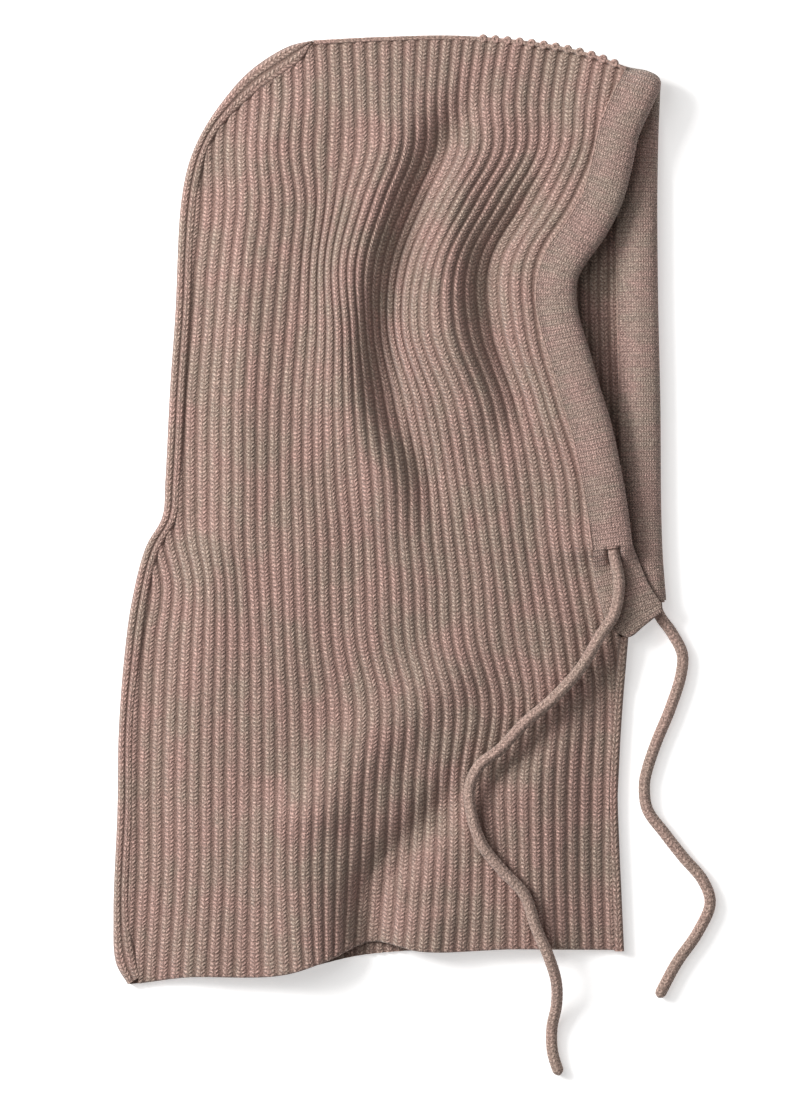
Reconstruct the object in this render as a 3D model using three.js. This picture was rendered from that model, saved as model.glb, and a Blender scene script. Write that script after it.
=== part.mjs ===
// Knitted hooded balaclava, laid flat on its left side with the face opening towards +X.
// Millimetres. +Z is up, +Y runs from the hem to the crown, the surface it lies on is z = 0.
// The origin is the middle of the garment's outline, on the surface.

import * as THREE from 'three';

// Overall size of the laid garment
const GARMENT_WIDTH = 290;
const GARMENT_LENGTH = 494.6;

// Knitted fabric
const RIB_FABRIC = 2.4;
const STRIP_WIDTH = 8.3;
const STRIP_THICKNESS = 3.4;
const HEM_WIDTH = 5;
const HEM_THICKNESS = 2.5;
const CROWN_SEAM_WIDTH = 6;
const CROWN_SEAM_HEIGHT = 4;
const FRONT_SEAM_WIDTH = 5;
const FRONT_SEAM_HEIGHT = 3.4;

// Drawcord and the tunnel it runs in
const CORD_DIAMETER = 6.2;
const CORD_TRAVEL = 50;
const CORD_RUN_SPARE = 5;
const STRAIGHT_LEAD = 2.5;
const TUNNEL_CLEARANCE = 0.6;
const CASING_WIDTH = 21;
const CASING_WALL = 1.6;
const CASING_SEAM_DIAMETER = 3;
const CHIN_FABRIC = 2.4;

// Eyelet rims round the cord
const EYELET_THREAD = 1.5;
const EYELET_LENGTH = 2;
const EYELET_CLEARANCE = 0.35;

// Gaps between pieces that touch
const TOUCH_GAP = 0.3;
const EDGE_GAP = 1.1;
const CASING_GAP = 0.8;
const CASING_END_GAP = 1.4;
const CASING_END_DROP = 7;

// Levels worked out from the sizes above
const HALF_WIDTH = GARMENT_WIDTH / 2;
const HALF_LENGTH = GARMENT_LENGTH / 2;
const CORD_RADIUS = CORD_DIAMETER / 2;
const CASING_HALF_HEIGHT = CORD_RADIUS + TUNNEL_CLEARANCE + CASING_WALL;
const FAR_CASING_LEVEL = CASING_HALF_HEIGHT;
const CHIN_LEVEL = 2 * CASING_HALF_HEIGHT + TOUCH_GAP + CHIN_FABRIC / 2;
const NEAR_CORD_LEVEL = CHIN_LEVEL + CHIN_FABRIC / 2 + TOUCH_GAP + CORD_RADIUS;
const EDGE_LEVEL = RIB_FABRIC + TOUCH_GAP + RIB_FABRIC / 2;
const PLATEAU_LEVEL = CHIN_LEVEL + CHIN_FABRIC / 2 - RIB_FABRIC / 2;
const CROWN_FOLD_LEVEL = (FAR_CASING_LEVEL + NEAR_CORD_LEVEL) / 2 + 1;
const BROW_LEVEL = NEAR_CORD_LEVEL + 2;
const CHEEK_LEVEL = NEAR_CORD_LEVEL - 2.2;

// How finely the two side panels are divided
const COLUMNS = 14;
const ROWS = 34;

// How far up the front the neck seam reaches before the chin
const NECK_SEAM_END = 0.3;

const COLOURS = {
  rib: 0x94827a,
  strip: 0x8c7a72,
  seam: 0x7e6c64,
  casing: 0x9a877e,
  cord: 0xa08d84,
};

/** A place on the lay, as shares of the half width and half length, and its height in mm. */
function lay(across, along, height = 0) {
  return new THREE.Vector3(across * HALF_WIDTH, along * HALF_LENGTH, height);
}

/** A smooth curve through points, as a function of the share of its length. */
function smooth(points) {
  const curve = new THREE.CatmullRomCurve3(points, false, 'centripetal');
  return (share) => curve.getPointAt(THREE.MathUtils.clamp(share, 0, 1));
}

/** The surface between four edge curves that meet at their ends. */
function coonsPatch(bottom, top, left, right) {
  const corners = [bottom(0), bottom(1), top(0), top(1)];
  return (u, v) => {
    const point = left(v).multiplyScalar(1 - u);
    point.addScaledVector(right(v), u);
    point.addScaledVector(bottom(u), 1 - v);
    point.addScaledVector(top(u), v);
    point.addScaledVector(corners[0], -(1 - u) * (1 - v));
    point.addScaledVector(corners[1], -u * (1 - v));
    point.addScaledVector(corners[2], -(1 - u) * v);
    point.addScaledVector(corners[3], -u * v);
    return point;
  };
}

/** A closed body from corner points and triangles, turned so that its faces point out. */
function closedBody(points, triangles) {
  let volume = 0;
  for (const [a, b, c] of triangles) {
    volume += points[a].dot(points[b].clone().cross(points[c]));
  }
  const facing = volume < 0 ? triangles.map(([a, b, c]) => [a, c, b]) : triangles;
  const geometry = new THREE.BufferGeometry().setFromPoints(points);
  geometry.setIndex(facing.flat());
  return geometry;
}

/** A layer over a patch, between the heights low(a, b) and high(a, b). */
function layer(patch, low, high, columns, rows) {
  const points = [];
  const triangles = [];
  const perRow = columns + 1;
  const perFace = perRow * (rows + 1);
  for (const height of [low, high]) {
    for (let j = 0; j <= rows; j += 1) {
      for (let i = 0; i <= columns; i += 1) {
        const place = patch(i / columns, j / rows);
        points.push(new THREE.Vector3(place.x, place.y, height(i / columns, j / rows)));
      }
    }
  }
  for (let j = 0; j < rows; j += 1) {
    for (let i = 0; i < columns; i += 1) {
      const a = j * perRow + i;
      const b = a + 1;
      const c = a + perRow;
      const d = c + 1;
      triangles.push([a, d, b], [a, c, d]);
      triangles.push([a + perFace, b + perFace, d + perFace], [a + perFace, d + perFace, c + perFace]);
    }
  }
  const rim = [];
  for (let i = 0; i < columns; i += 1) rim.push(i);
  for (let j = 0; j < rows; j += 1) rim.push(j * perRow + columns);
  for (let i = columns; i > 0; i -= 1) rim.push(rows * perRow + i);
  for (let j = rows; j > 0; j -= 1) rim.push(j * perRow);
  rim.forEach((a, index) => {
    const b = rim[(index + 1) % rim.length];
    triangles.push([a, b, b + perFace], [a, b + perFace, a + perFace]);
  });
  return closedBody(points, triangles);
}

/** Triangles that join a run of rings, each with the same number of points. */
function joinRings(ringCount, sides, start, triangles) {
  for (let r = 0; r < ringCount - 1; r += 1) {
    for (let s = 0; s < sides; s += 1) {
      const a = start + r * sides + s;
      const b = start + r * sides + ((s + 1) % sides);
      triangles.push([a, b, b + sides], [a, b + sides, a + sides]);
    }
  }
}

/** A solid through a run of rings, with flat ends. */
function loft(rings) {
  const sides = rings[0].length;
  const triangles = [];
  joinRings(rings.length, sides, 0, triangles);
  const last = (rings.length - 1) * sides;
  for (let s = 1; s < sides - 1; s += 1) {
    triangles.push([0, s + 1, s], [last, last + s, last + s + 1]);
  }
  return closedBody(rings.flat(), triangles);
}

/** A pipe between a run of outer rings and a run of inner rings, open at both ends. */
function pipe(outer, inner) {
  const sides = outer[0].length;
  const offset = outer.length * sides;
  const last = (outer.length - 1) * sides;
  const triangles = [];
  const innerTriangles = [];
  joinRings(outer.length, sides, 0, triangles);
  joinRings(inner.length, sides, offset, innerTriangles);
  for (const [a, b, c] of innerTriangles) triangles.push([a, c, b]);
  for (let s = 0; s < sides; s += 1) {
    const t = (s + 1) % sides;
    triangles.push([s, offset + s, offset + t], [s, offset + t, t]);
    triangles.push([last + s, offset + last + t, offset + last + s]);
    triangles.push([last + s, last + t, offset + last + t]);
  }
  return closedBody([...outer, ...inner].flat(), triangles);
}

/** A round cord along a curve. */
function cordTube(points, diameter, steps) {
  const section = new THREE.Shape();
  section.absarc(0, 0, diameter / 2, 0, 2 * Math.PI);
  const path = new THREE.CatmullRomCurve3(points, false, 'centripetal');
  return new THREE.ExtrudeGeometry(section, {
    steps,
    curveSegments: 5,
    bevelEnabled: false,
    extrudePath: path,
  });
}

/** Shares of a row or column taken by an edge of the given width in mm. */
function shareOf(width, from, to) {
  return width / Math.hypot(to.x - from.x, to.y - from.y);
}

// Stations of the face casing's folded edge, from the left chin up over the crown to the right
// eyelet: across, along, height and the lean of the band's width in degrees, 0 pointing to -X.
const CASING_STATIONS = [
  [0.989, -0.19, FAR_CASING_LEVEL, -4],
  [0.977, -0.1, FAR_CASING_LEVEL, -4],
  [0.971, 0, FAR_CASING_LEVEL, -2],
  [0.968, 0.222, FAR_CASING_LEVEL, 0],
  [0.96, 0.437, FAR_CASING_LEVEL, 0],
  [0.957, 0.64, FAR_CASING_LEVEL, 0],
  [0.96, 0.77, FAR_CASING_LEVEL, 6],
  [0.964, 0.835, FAR_CASING_LEVEL, 14],
  [0.966, 0.862, FAR_CASING_LEVEL + 0.8, 20],
  [0.966, 0.882, FAR_CASING_LEVEL + 3.4, 23],
  [0.965, 0.889, CROWN_FOLD_LEVEL, 24],
  [0.961, 0.88, BROW_LEVEL - 3.4, 24],
  [0.946, 0.86, BROW_LEVEL - 0.8, 23],
  [0.922, 0.83, BROW_LEVEL, 21],
  [0.885, 0.78, BROW_LEVEL - 0.6, 18],
  [0.8635, 0.72, BROW_LEVEL - 1.6, 16],
  [0.8277, 0.643, BROW_LEVEL - 2.8, 22],
  [0.7631, 0.569, CHEEK_LEVEL + 0.3, 31],
  [0.691, 0.51, CHEEK_LEVEL, 24],
  [0.6645, 0.462, CHEEK_LEVEL, 5],
  [0.677, 0.4, CHEEK_LEVEL + 0.2, -9],
  [0.713, 0.33, CHEEK_LEVEL + 0.8, -15],
  [0.7488, 0.256, NEAR_CORD_LEVEL - 0.5, -15],
  [0.785, 0.1886, NEAR_CORD_LEVEL, -14],
  [0.8205, 0.094, NEAR_CORD_LEVEL, -12],
  [0.846, 0.01, NEAR_CORD_LEVEL, -10],
  [0.8635, -0.07, NEAR_CORD_LEVEL, -10],
];
const CROWN_STATION = 10;
const BROW_STATION = 12;

/** A point at a distance inside the casing's folded edge, across the band. */
function acrossCasing([across, along, height, lean], distance) {
  const angle = THREE.MathUtils.degToRad(lean);
  const inward = new THREE.Vector3(-Math.cos(angle), Math.sin(angle), 0);
  return lay(across, along, height).addScaledVector(inward, distance);
}

/** Rings of a flat-sided oval round the casing's middle line. */
function casingRings(halfWidth, halfHeight, offset = 0) {
  const middle = CASING_STATIONS.map((station) => acrossCasing(station, CASING_WIDTH / 2 + offset));
  return middle.map((centre, index) => {
    const before = middle[Math.max(index - 1, 0)];
    const after = middle[Math.min(index + 1, middle.length - 1)];
    const along = after.clone().sub(before).normalize();
    const across = acrossCasing(CASING_STATIONS[index], 1).sub(acrossCasing(CASING_STATIONS[index], 0));
    const up = across.clone().cross(along).normalize();
    const ring = [];
    for (const [side, turn] of [[1, 0], [-1, Math.PI]]) {
      for (let step = -2; step <= 2; step += 1) {
        const angle = turn + (step * Math.PI) / 4;
        const wide = side * (halfWidth - halfHeight) + halfHeight * Math.cos(angle);
        const point = centre.clone().addScaledVector(across, wide);
        ring.push(point.addScaledVector(up, halfHeight * Math.sin(angle)));
      }
    }
    return ring;
  });
}

function buildFaceCasing() {
  const outer = casingRings(CASING_WIDTH / 2, CASING_HALF_HEIGHT);
  const inner = casingRings(CASING_WIDTH / 2 - CASING_WALL, CASING_HALF_HEIGHT - CASING_WALL);
  return pipe(outer, inner);
}

// Outline of the lay, from the hem up and round: shares of the half width and half length
const BACK_EDGE = smooth([
  lay(-0.947, -1),
  lay(-0.99, -0.955),
  lay(-0.9995, -0.854),
  lay(-0.985, -0.627),
  lay(-0.981, -0.474),
  lay(-0.963, -0.324),
  lay(-0.934, -0.194),
  lay(-0.883, -0.078),
  lay(-0.824, -0.015),
  lay(-0.813, 0.062),
  lay(-0.795, 0.264),
  lay(-0.777, 0.414),
  lay(-0.757, 0.643),
  lay(-0.729, 0.729),
  lay(-0.686, 0.79),
  lay(-0.6175, 0.853),
  lay(-0.51, 0.9245),
  lay(-0.37, 0.977),
]);
const HEM_CORNER = lay(0.838, -0.928);
const CHIN_POINT = lay(0.8528, -0.2677);
const CROWN_CORNER = acrossCasing(CASING_STATIONS[CROWN_STATION], CASING_WIDTH + CASING_GAP);
const CROWN_EDGE = smooth([
  lay(-0.37, 0.977),
  lay(-0.28, 0.99),
  lay(-0.04, 0.997),
  lay(0.254, 0.9995),
  lay(0.544, 0.983),
  lay(0.72, 0.958),
  CROWN_CORNER,
]);
const FRONT_NECK = [
  HEM_CORNER,
  lay(0.828, -0.8),
  lay(0.815, -0.61),
  lay(0.828, -0.453),
  CHIN_POINT,
];
const NEAR_HEM = smooth([
  lay(-0.947, -1),
  lay(-0.75, -0.985),
  lay(-0.34, -0.97),
  lay(-0.22, -0.945),
  lay(-0.08, -0.911),
  lay(0.1, -0.928),
  lay(0.45, -0.924),
  HEM_CORNER,
]);
const FAR_HEM = smooth([
  lay(-0.947, -1),
  lay(-0.75, -0.985),
  lay(-0.34, -0.97),
  lay(-0.12, -0.94),
  lay(0.1, -0.928),
  lay(0.45, -0.924),
  HEM_CORNER,
]);

/** A point of the rib panel's edge beside the casing, clear of the casing's seam. */
function besideCasing(station) {
  return acrossCasing(station, CASING_WIDTH + 2 * CASING_GAP + CASING_SEAM_DIAMETER);
}

const CHIN_SEAM_END = lay(0.763, -0.23, CHIN_LEVEL);
const NEAR_FRONT = smooth([
  ...FRONT_NECK.map((point) => point.clone().setZ(EDGE_LEVEL)),
  CHIN_SEAM_END.clone().setX(CHIN_SEAM_END.x - CASING_SEAM_DIAMETER),
  ...CASING_STATIONS.slice(BROW_STATION).reverse().map(besideCasing),
  CROWN_CORNER.clone(),
]);
const FAR_FRONT = smooth([
  ...FRONT_NECK,
  besideCasing(CASING_STATIONS[0]).add(new THREE.Vector3(0, -CASING_END_DROP, 0)),
  ...CASING_STATIONS.slice(0, CROWN_STATION - 2).map(besideCasing),
  CROWN_CORNER.clone(),
]);
const FAR_LAY = coonsPatch(FAR_HEM, CROWN_EDGE, BACK_EDGE, FAR_FRONT);
const NEAR_LAY = coonsPatch(NEAR_HEM, CROWN_EDGE, BACK_EDGE, NEAR_FRONT);

/** Height of the near layer's middle surface, low at its edges and lifted over the cavity. */
function nearLevel(u, v) {
  const back = THREE.MathUtils.smoothstep(u, 0.03, 0.2);
  const front = THREE.MathUtils.smoothstep(u, 0.83, 0.98);
  const crown = THREE.MathUtils.smoothstep(v, 0.88, 0.99);
  const lifted = THREE.MathUtils.lerp(EDGE_LEVEL, PLATEAU_LEVEL, back);
  const body = THREE.MathUtils.lerp(lifted, Math.max(NEAR_FRONT(v).z, EDGE_LEVEL), front);
  const edge = THREE.MathUtils.lerp(EDGE_LEVEL, FAR_CASING_LEVEL, u * u);
  return THREE.MathUtils.lerp(body, edge, crown);
}

/** Share of a near-layer row taken by a width at its back or front edge. */
function rowShare(v, width) {
  return shareOf(width, BACK_EDGE(v), NEAR_FRONT(v));
}

/** Share of a near-layer column taken by a width at its hem or crown end. */
function columnShare(u, width) {
  return shareOf(width, NEAR_HEM(u), CROWN_EDGE(u));
}

/** The near layer between two shares of each row and column, given as functions. */
function nearPart(uFrom, uTo, vFrom, vTo) {
  const place = (a, b) => {
    const vGuess = THREE.MathUtils.lerp(vFrom(a), vTo(a), b);
    const u = THREE.MathUtils.lerp(uFrom(vGuess), uTo(vGuess), a);
    const v = THREE.MathUtils.lerp(vFrom(u), vTo(u), b);
    return [u, v];
  };
  return {
    patch: (a, b) => NEAR_LAY(...place(a, b)),
    level: (a, b) => nearLevel(...place(a, b)),
  };
}

/** Share of a row left to the neck seam, none of it above the chin. */
function frontInset(v) {
  const seam = 1 - THREE.MathUtils.smoothstep(v, NECK_SEAM_END, NECK_SEAM_END + 0.04);
  return rowShare(v, FRONT_SEAM_WIDTH + EDGE_GAP) * seam;
}

function buildRightPanel() {
  const { patch, level } = nearPart(
    (v) => rowShare(v, STRIP_WIDTH + EDGE_GAP),
    (v) => 1 - frontInset(v),
    (u) => columnShare(u, HEM_WIDTH + EDGE_GAP),
    (u) => 1 - columnShare(u, CROWN_SEAM_WIDTH + EDGE_GAP),
  );
  const half = RIB_FABRIC / 2;
  return layer(patch, (a, b) => level(a, b) - half, (a, b) => level(a, b) + half, COLUMNS, ROWS);
}

function buildLeftPanel() {
  const hem = (a) => shareOf(HEM_WIDTH + EDGE_GAP, FAR_HEM(a), CROWN_EDGE(a));
  const patch = (a, b) => FAR_LAY(a, THREE.MathUtils.lerp(hem(a), 1, b));
  return layer(patch, () => 0, () => RIB_FABRIC, COLUMNS, ROWS);
}

function buildLeftHem() {
  const hem = (a) => shareOf(HEM_WIDTH, FAR_HEM(a), CROWN_EDGE(a));
  const patch = (a, b) => FAR_LAY(a, b * hem(a));
  return layer(patch, () => 0, () => RIB_FABRIC, COLUMNS, 1);
}

function buildRightHem() {
  const { patch, level } = nearPart(
    (v) => rowShare(v, STRIP_WIDTH + EDGE_GAP),
    (v) => 1 - rowShare(v, FRONT_SEAM_WIDTH + EDGE_GAP),
    () => 0,
    (u) => columnShare(u, HEM_WIDTH),
  );
  const half = RIB_FABRIC / 2;
  const rise = HEM_THICKNESS - half;
  return layer(patch, (a, b) => level(a, b) - half, (a, b) => level(a, b) + rise, COLUMNS, 1);
}

function buildBackStrip() {
  const patch = (a, b) => NEAR_LAY(a * rowShare(b, STRIP_WIDTH), b);
  const low = RIB_FABRIC + TOUCH_GAP;
  const crest = (a) => low + STRIP_THICKNESS * (0.6 + 0.4 * Math.sin(Math.PI * a));
  return layer(patch, () => low, crest, 4, ROWS);
}

function buildCrownSeam() {
  const start = rowShare(1, STRIP_WIDTH + EDGE_GAP);
  const patch = (a, b) => {
    const u = THREE.MathUtils.lerp(start, 1, a);
    return NEAR_LAY(u, 1 - (1 - b) * columnShare(u, CROWN_SEAM_WIDTH));
  };
  const low = RIB_FABRIC + TOUCH_GAP;
  const crest = (a, b) => low + CROWN_SEAM_HEIGHT * (0.6 + 0.4 * Math.sin(Math.PI * b));
  return layer(patch, () => low, crest, 20, 4);
}

function buildFrontNeckSeam() {
  const patch = (a, b) => {
    const v = b * NECK_SEAM_END;
    return NEAR_LAY(1 - (1 - a) * rowShare(v, FRONT_SEAM_WIDTH), v);
  };
  const low = RIB_FABRIC + TOUCH_GAP;
  const crest = (a) => low + FRONT_SEAM_HEIGHT * (0.6 + 0.4 * Math.sin(Math.PI * a));
  return layer(patch, () => low, crest, 4, 10);
}

/** The stitched seam beside the casing, over a run of its stations. */
function casingSeam(stations, level) {
  const distance = CASING_WIDTH + CASING_GAP + CASING_SEAM_DIAMETER / 2;
  const points = stations.map((station) => acrossCasing(station, distance));
  if (level !== undefined) points.forEach((point) => point.setZ(level));
  return cordTube(points, CASING_SEAM_DIAMETER, 2 * points.length);
}

// Where each free end of the drawcord leaves the casing, and the way it is pulled: the right
// one from the middle of the tunnel, the left one close to the folded edge
const LAST_STATION = CASING_STATIONS.length - 1;
const BESIDE_FOLD = CASING_WALL + TUNNEL_CLEARANCE + CORD_RADIUS;
const RIGHT_EXIT = acrossCasing(CASING_STATIONS[LAST_STATION], CASING_WIDTH / 2);
const RIGHT_PULL = RIGHT_EXIT.clone()
  .sub(acrossCasing(CASING_STATIONS[LAST_STATION - 2], CASING_WIDTH / 2))
  .setZ(0)
  .normalize();
const LEFT_EXIT = acrossCasing(CASING_STATIONS[0], BESIDE_FOLD);
const LEFT_PULL = LEFT_EXIT.clone()
  .sub(acrossCasing(CASING_STATIONS[1], BESIDE_FOLD))
  .setZ(0)
  .normalize();

/** A rim round the cord, just outside the casing, with its hole along the pull. */
function eyelet(exit, pull) {
  const inner = CORD_RADIUS + EYELET_CLEARANCE;
  const outer = inner + EYELET_THREAD;
  const half = EYELET_LENGTH / 2;
  const profile = [
    new THREE.Vector2(inner, -half),
    new THREE.Vector2(outer, -half),
    new THREE.Vector2(outer, half),
    new THREE.Vector2(inner, half),
    new THREE.Vector2(inner, -half),
  ];
  const rim = new THREE.LatheGeometry(profile, 16);
  rim.applyQuaternion(new THREE.Quaternion().setFromUnitVectors(new THREE.Vector3(0, 1, 0), pull));
  const centre = exit.clone().addScaledVector(pull, TOUCH_GAP + half);
  return rim.translate(centre.x, centre.y, centre.z);
}

/** The straight run of cord inside the casing that follows a free end as it is pulled out. */
function cordRun(exit, pull) {
  const inside = exit.clone().addScaledVector(pull, -(CORD_TRAVEL + CORD_RUN_SPARE));
  return cordTube([inside, exit.clone()], CORD_DIAMETER, 2);
}

// The free ends' routes, each from its exit to its tip
const RIGHT_CORD_ROUTE = [
  RIGHT_EXIT.clone().addScaledVector(RIGHT_PULL, TOUCH_GAP),
  RIGHT_EXIT.clone().addScaledVector(RIGHT_PULL, EYELET_LENGTH + STRAIGHT_LEAD),
  new THREE.Vector3(118.2, -37.5, NEAR_CORD_LEVEL),
  new THREE.Vector3(115.8, -53.7, NEAR_CORD_LEVEL),
  new THREE.Vector3(108.6, -65.1, NEAR_CORD_LEVEL),
  new THREE.Vector3(98.2, -82.3, NEAR_CORD_LEVEL),
  new THREE.Vector3(84.1, -97.9, NEAR_CORD_LEVEL),
  new THREE.Vector3(68, -111.9, NEAR_CORD_LEVEL),
  new THREE.Vector3(56.6, -124.2, NEAR_CORD_LEVEL),
  new THREE.Vector3(45.4, -133.2, NEAR_CORD_LEVEL),
  new THREE.Vector3(40.7, -144.1, NEAR_CORD_LEVEL),
  new THREE.Vector3(42, -159.7, NEAR_CORD_LEVEL),
  new THREE.Vector3(47.7, -174.8, NEAR_CORD_LEVEL),
  new THREE.Vector3(57.6, -187.3, NEAR_CORD_LEVEL),
  new THREE.Vector3(69, -199.8, NEAR_CORD_LEVEL),
  new THREE.Vector3(75.3, -217.5, NEAR_CORD_LEVEL),
  new THREE.Vector3(81.8, -232.5, NEAR_CORD_LEVEL),
  new THREE.Vector3(85.7, -245.5, 12.6),
  new THREE.Vector3(86, -258, 7),
  new THREE.Vector3(83.7, -270.5, 3.8),
  new THREE.Vector3(84.1, -283, 3.4),
  new THREE.Vector3(87.8, -295, 3.4),
];
const LEFT_CORD_ROUTE = [
  LEFT_EXIT.clone().addScaledVector(LEFT_PULL, TOUCH_GAP),
  LEFT_EXIT.clone().addScaledVector(LEFT_PULL, EYELET_LENGTH + STRAIGHT_LEAD),
  new THREE.Vector3(140.5, -56.2, 4.7),
  new THREE.Vector3(146.2, -64, 3.8),
  new THREE.Vector3(151.7, -75, 3.4),
  new THREE.Vector3(151.2, -85.4, 3.4),
  new THREE.Vector3(145.5, -103.6, 3.4),
  new THREE.Vector3(138.2, -121.3, 3.4),
  new THREE.Vector3(133.5, -135.3, 3.4),
  new THREE.Vector3(132, -143.1, 3.4),
  new THREE.Vector3(133.5, -156.1, 3.4),
  new THREE.Vector3(142.4, -168.6, 3.4),
  new THREE.Vector3(152.2, -181.1, 3.4),
  new THREE.Vector3(162.6, -193.5, 3.4),
  new THREE.Vector3(166.3, -205, 3.4),
  new THREE.Vector3(160, -220.1, 3.4),
  new THREE.Vector3(148.6, -236.7, 3.4),
  new THREE.Vector3(139.2, -254.4, 3.4),
];

/** The cord that stays in the casing, between the two pulled runs. */
function buildCasingCord() {
  const runLength = CORD_TRAVEL + CORD_RUN_SPARE + TOUCH_GAP;
  const leftEnd = LEFT_EXIT.clone().addScaledVector(LEFT_PULL, -runLength);
  const rightEnd = RIGHT_EXIT.clone().addScaledVector(RIGHT_PULL, -runLength);
  const rings = casingRings(CORD_RADIUS, CORD_RADIUS);
  const kept = rings.filter((ring, index) => {
    const side = index < CROWN_STATION ? leftEnd : rightEnd;
    return Math.min(...ring.map((point) => point.y)) > side.y + CORD_DIAMETER;
  });
  return loft(kept.map((ring) => ring.filter((point, index) => index % 5 !== 4)));
}

/** The flat end of the casing beyond the right eyelet, under the cord. */
function buildRightCasingEnd() {
  const lead = 2 * TOUCH_GAP + EYELET_LENGTH + CASING_END_GAP;
  const last = CASING_STATIONS[LAST_STATION];
  const foldStart = acrossCasing(last, 0).addScaledVector(RIGHT_PULL, lead);
  const seamStart = acrossCasing(last, CASING_WIDTH).addScaledVector(RIGHT_PULL, lead);
  const seamEnd = CHIN_SEAM_END.clone().add(new THREE.Vector3(TOUCH_GAP, TOUCH_GAP, 0));
  const patch = coonsPatch(
    smooth([seamEnd, lay(0.969, -0.196)]),
    smooth([seamStart, foldStart]),
    smooth([seamEnd, lay(0.727, -0.14), seamStart]),
    smooth([lay(0.969, -0.196), lay(0.921, -0.152), lay(0.892, -0.112), foldStart]),
  );
  const half = CHIN_FABRIC / 2;
  return layer(patch, () => CHIN_LEVEL - half, () => CHIN_LEVEL + half, 6, 6);
}

/** The tab that joins the ends of the casing in front of the chin. */
function buildChinBand() {
  const drop = new THREE.Vector3(0, -TOUCH_GAP, 0);
  const leftTop = CHIN_SEAM_END.clone().add(new THREE.Vector3(TOUCH_GAP, 0, 0)).add(drop);
  const rightTop = lay(0.969, -0.196).add(drop);
  const corner = lay(0.8546, -0.262);
  const patch = coonsPatch(
    smooth([leftTop.clone().lerp(corner, 0.25), corner, lay(0.965, -0.224)]),
    smooth([leftTop, rightTop]),
    smooth([leftTop.clone().lerp(corner, 0.25), leftTop]),
    smooth([lay(0.965, -0.224), rightTop]),
  );
  const half = CHIN_FABRIC / 2;
  return layer(patch, () => CHIN_LEVEL - half, () => CHIN_LEVEL + half, 6, 2);
}

const balaclava = new THREE.Group();

/** Adds one named piece with a material of its own. */
function addPiece(name, geometry, colour, roughness = 0.95) {
  geometry.computeVertexNormals();
  const material = new THREE.MeshStandardMaterial({ color: colour, roughness, metalness: 0 });
  const mesh = new THREE.Mesh(geometry, material);
  mesh.name = name;
  balaclava.add(mesh);
}

addPiece('left_side_panel', buildLeftPanel(), COLOURS.rib);
addPiece('right_side_panel', buildRightPanel(), COLOURS.rib);
addPiece('left_hem_edge', buildLeftHem(), COLOURS.seam);
addPiece('right_hem_edge', buildRightHem(), COLOURS.seam);
addPiece('back_edge_strip', buildBackStrip(), COLOURS.strip);
addPiece('crown_seam', buildCrownSeam(), COLOURS.seam);
addPiece('front_neck_seam', buildFrontNeckSeam(), COLOURS.seam);
addPiece('face_casing', buildFaceCasing(), COLOURS.casing);
addPiece(
  'left_casing_seam',
  casingSeam(CASING_STATIONS.slice(0, CROWN_STATION - 2), TOUCH_GAP + CASING_SEAM_DIAMETER / 2),
  COLOURS.seam,
);
addPiece('right_casing_seam', casingSeam(CASING_STATIONS.slice(BROW_STATION)), COLOURS.seam);
addPiece('right_casing_end', buildRightCasingEnd(), COLOURS.casing);
addPiece('chin_band', buildChinBand(), COLOURS.casing);
addPiece('right_eyelet', eyelet(RIGHT_EXIT, RIGHT_PULL), COLOURS.seam);
addPiece('left_eyelet', eyelet(LEFT_EXIT, LEFT_PULL), COLOURS.seam);
addPiece('casing_drawcord', buildCasingCord(), COLOURS.cord);
addPiece('right_drawcord_run', cordRun(RIGHT_EXIT, RIGHT_PULL), COLOURS.cord);
addPiece('left_drawcord_run', cordRun(LEFT_EXIT, LEFT_PULL), COLOURS.cord);
addPiece('right_drawcord', cordTube(RIGHT_CORD_ROUTE, CORD_DIAMETER, 44), COLOURS.cord);
addPiece('left_drawcord', cordTube(LEFT_CORD_ROUTE, CORD_DIAMETER, 34), COLOURS.cord);

export default balaclava;
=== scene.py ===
"""Knitted hooded balaclava, laid flat on its left side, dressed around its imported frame."""

import logging
import math
from dataclasses import dataclass, field
from enum import Enum
from typing import ClassVar

import bpy
import numpy as np
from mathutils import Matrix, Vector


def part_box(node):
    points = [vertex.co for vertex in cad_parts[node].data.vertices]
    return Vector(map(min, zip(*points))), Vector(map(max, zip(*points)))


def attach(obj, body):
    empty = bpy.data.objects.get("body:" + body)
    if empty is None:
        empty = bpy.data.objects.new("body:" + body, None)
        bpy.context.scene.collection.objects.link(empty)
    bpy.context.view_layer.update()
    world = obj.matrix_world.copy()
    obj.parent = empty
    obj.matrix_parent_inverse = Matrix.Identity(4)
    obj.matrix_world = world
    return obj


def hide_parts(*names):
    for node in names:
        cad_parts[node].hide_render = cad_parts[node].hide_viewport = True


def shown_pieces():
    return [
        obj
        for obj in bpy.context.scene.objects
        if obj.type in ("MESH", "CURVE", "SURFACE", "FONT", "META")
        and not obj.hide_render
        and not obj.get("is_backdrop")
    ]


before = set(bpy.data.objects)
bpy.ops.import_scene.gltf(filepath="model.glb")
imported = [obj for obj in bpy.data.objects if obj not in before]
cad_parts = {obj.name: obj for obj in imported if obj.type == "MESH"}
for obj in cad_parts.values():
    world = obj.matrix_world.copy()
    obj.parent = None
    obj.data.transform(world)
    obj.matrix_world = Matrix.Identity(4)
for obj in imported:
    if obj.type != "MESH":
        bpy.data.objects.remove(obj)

log = logging.getLogger("balaclava")

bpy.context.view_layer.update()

# The hood body and the two ends of the drawcord, by their names in the frame
HOOD = "hood"
RIGHT_CORD_BODY = "right_cord_end"
LEFT_CORD_BODY = "left_cord_end"

Array = np.ndarray
Piece = bpy.types.Object

# Squares of a layer's upper face to each square of its plainer under face
SKIP = 2
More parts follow.
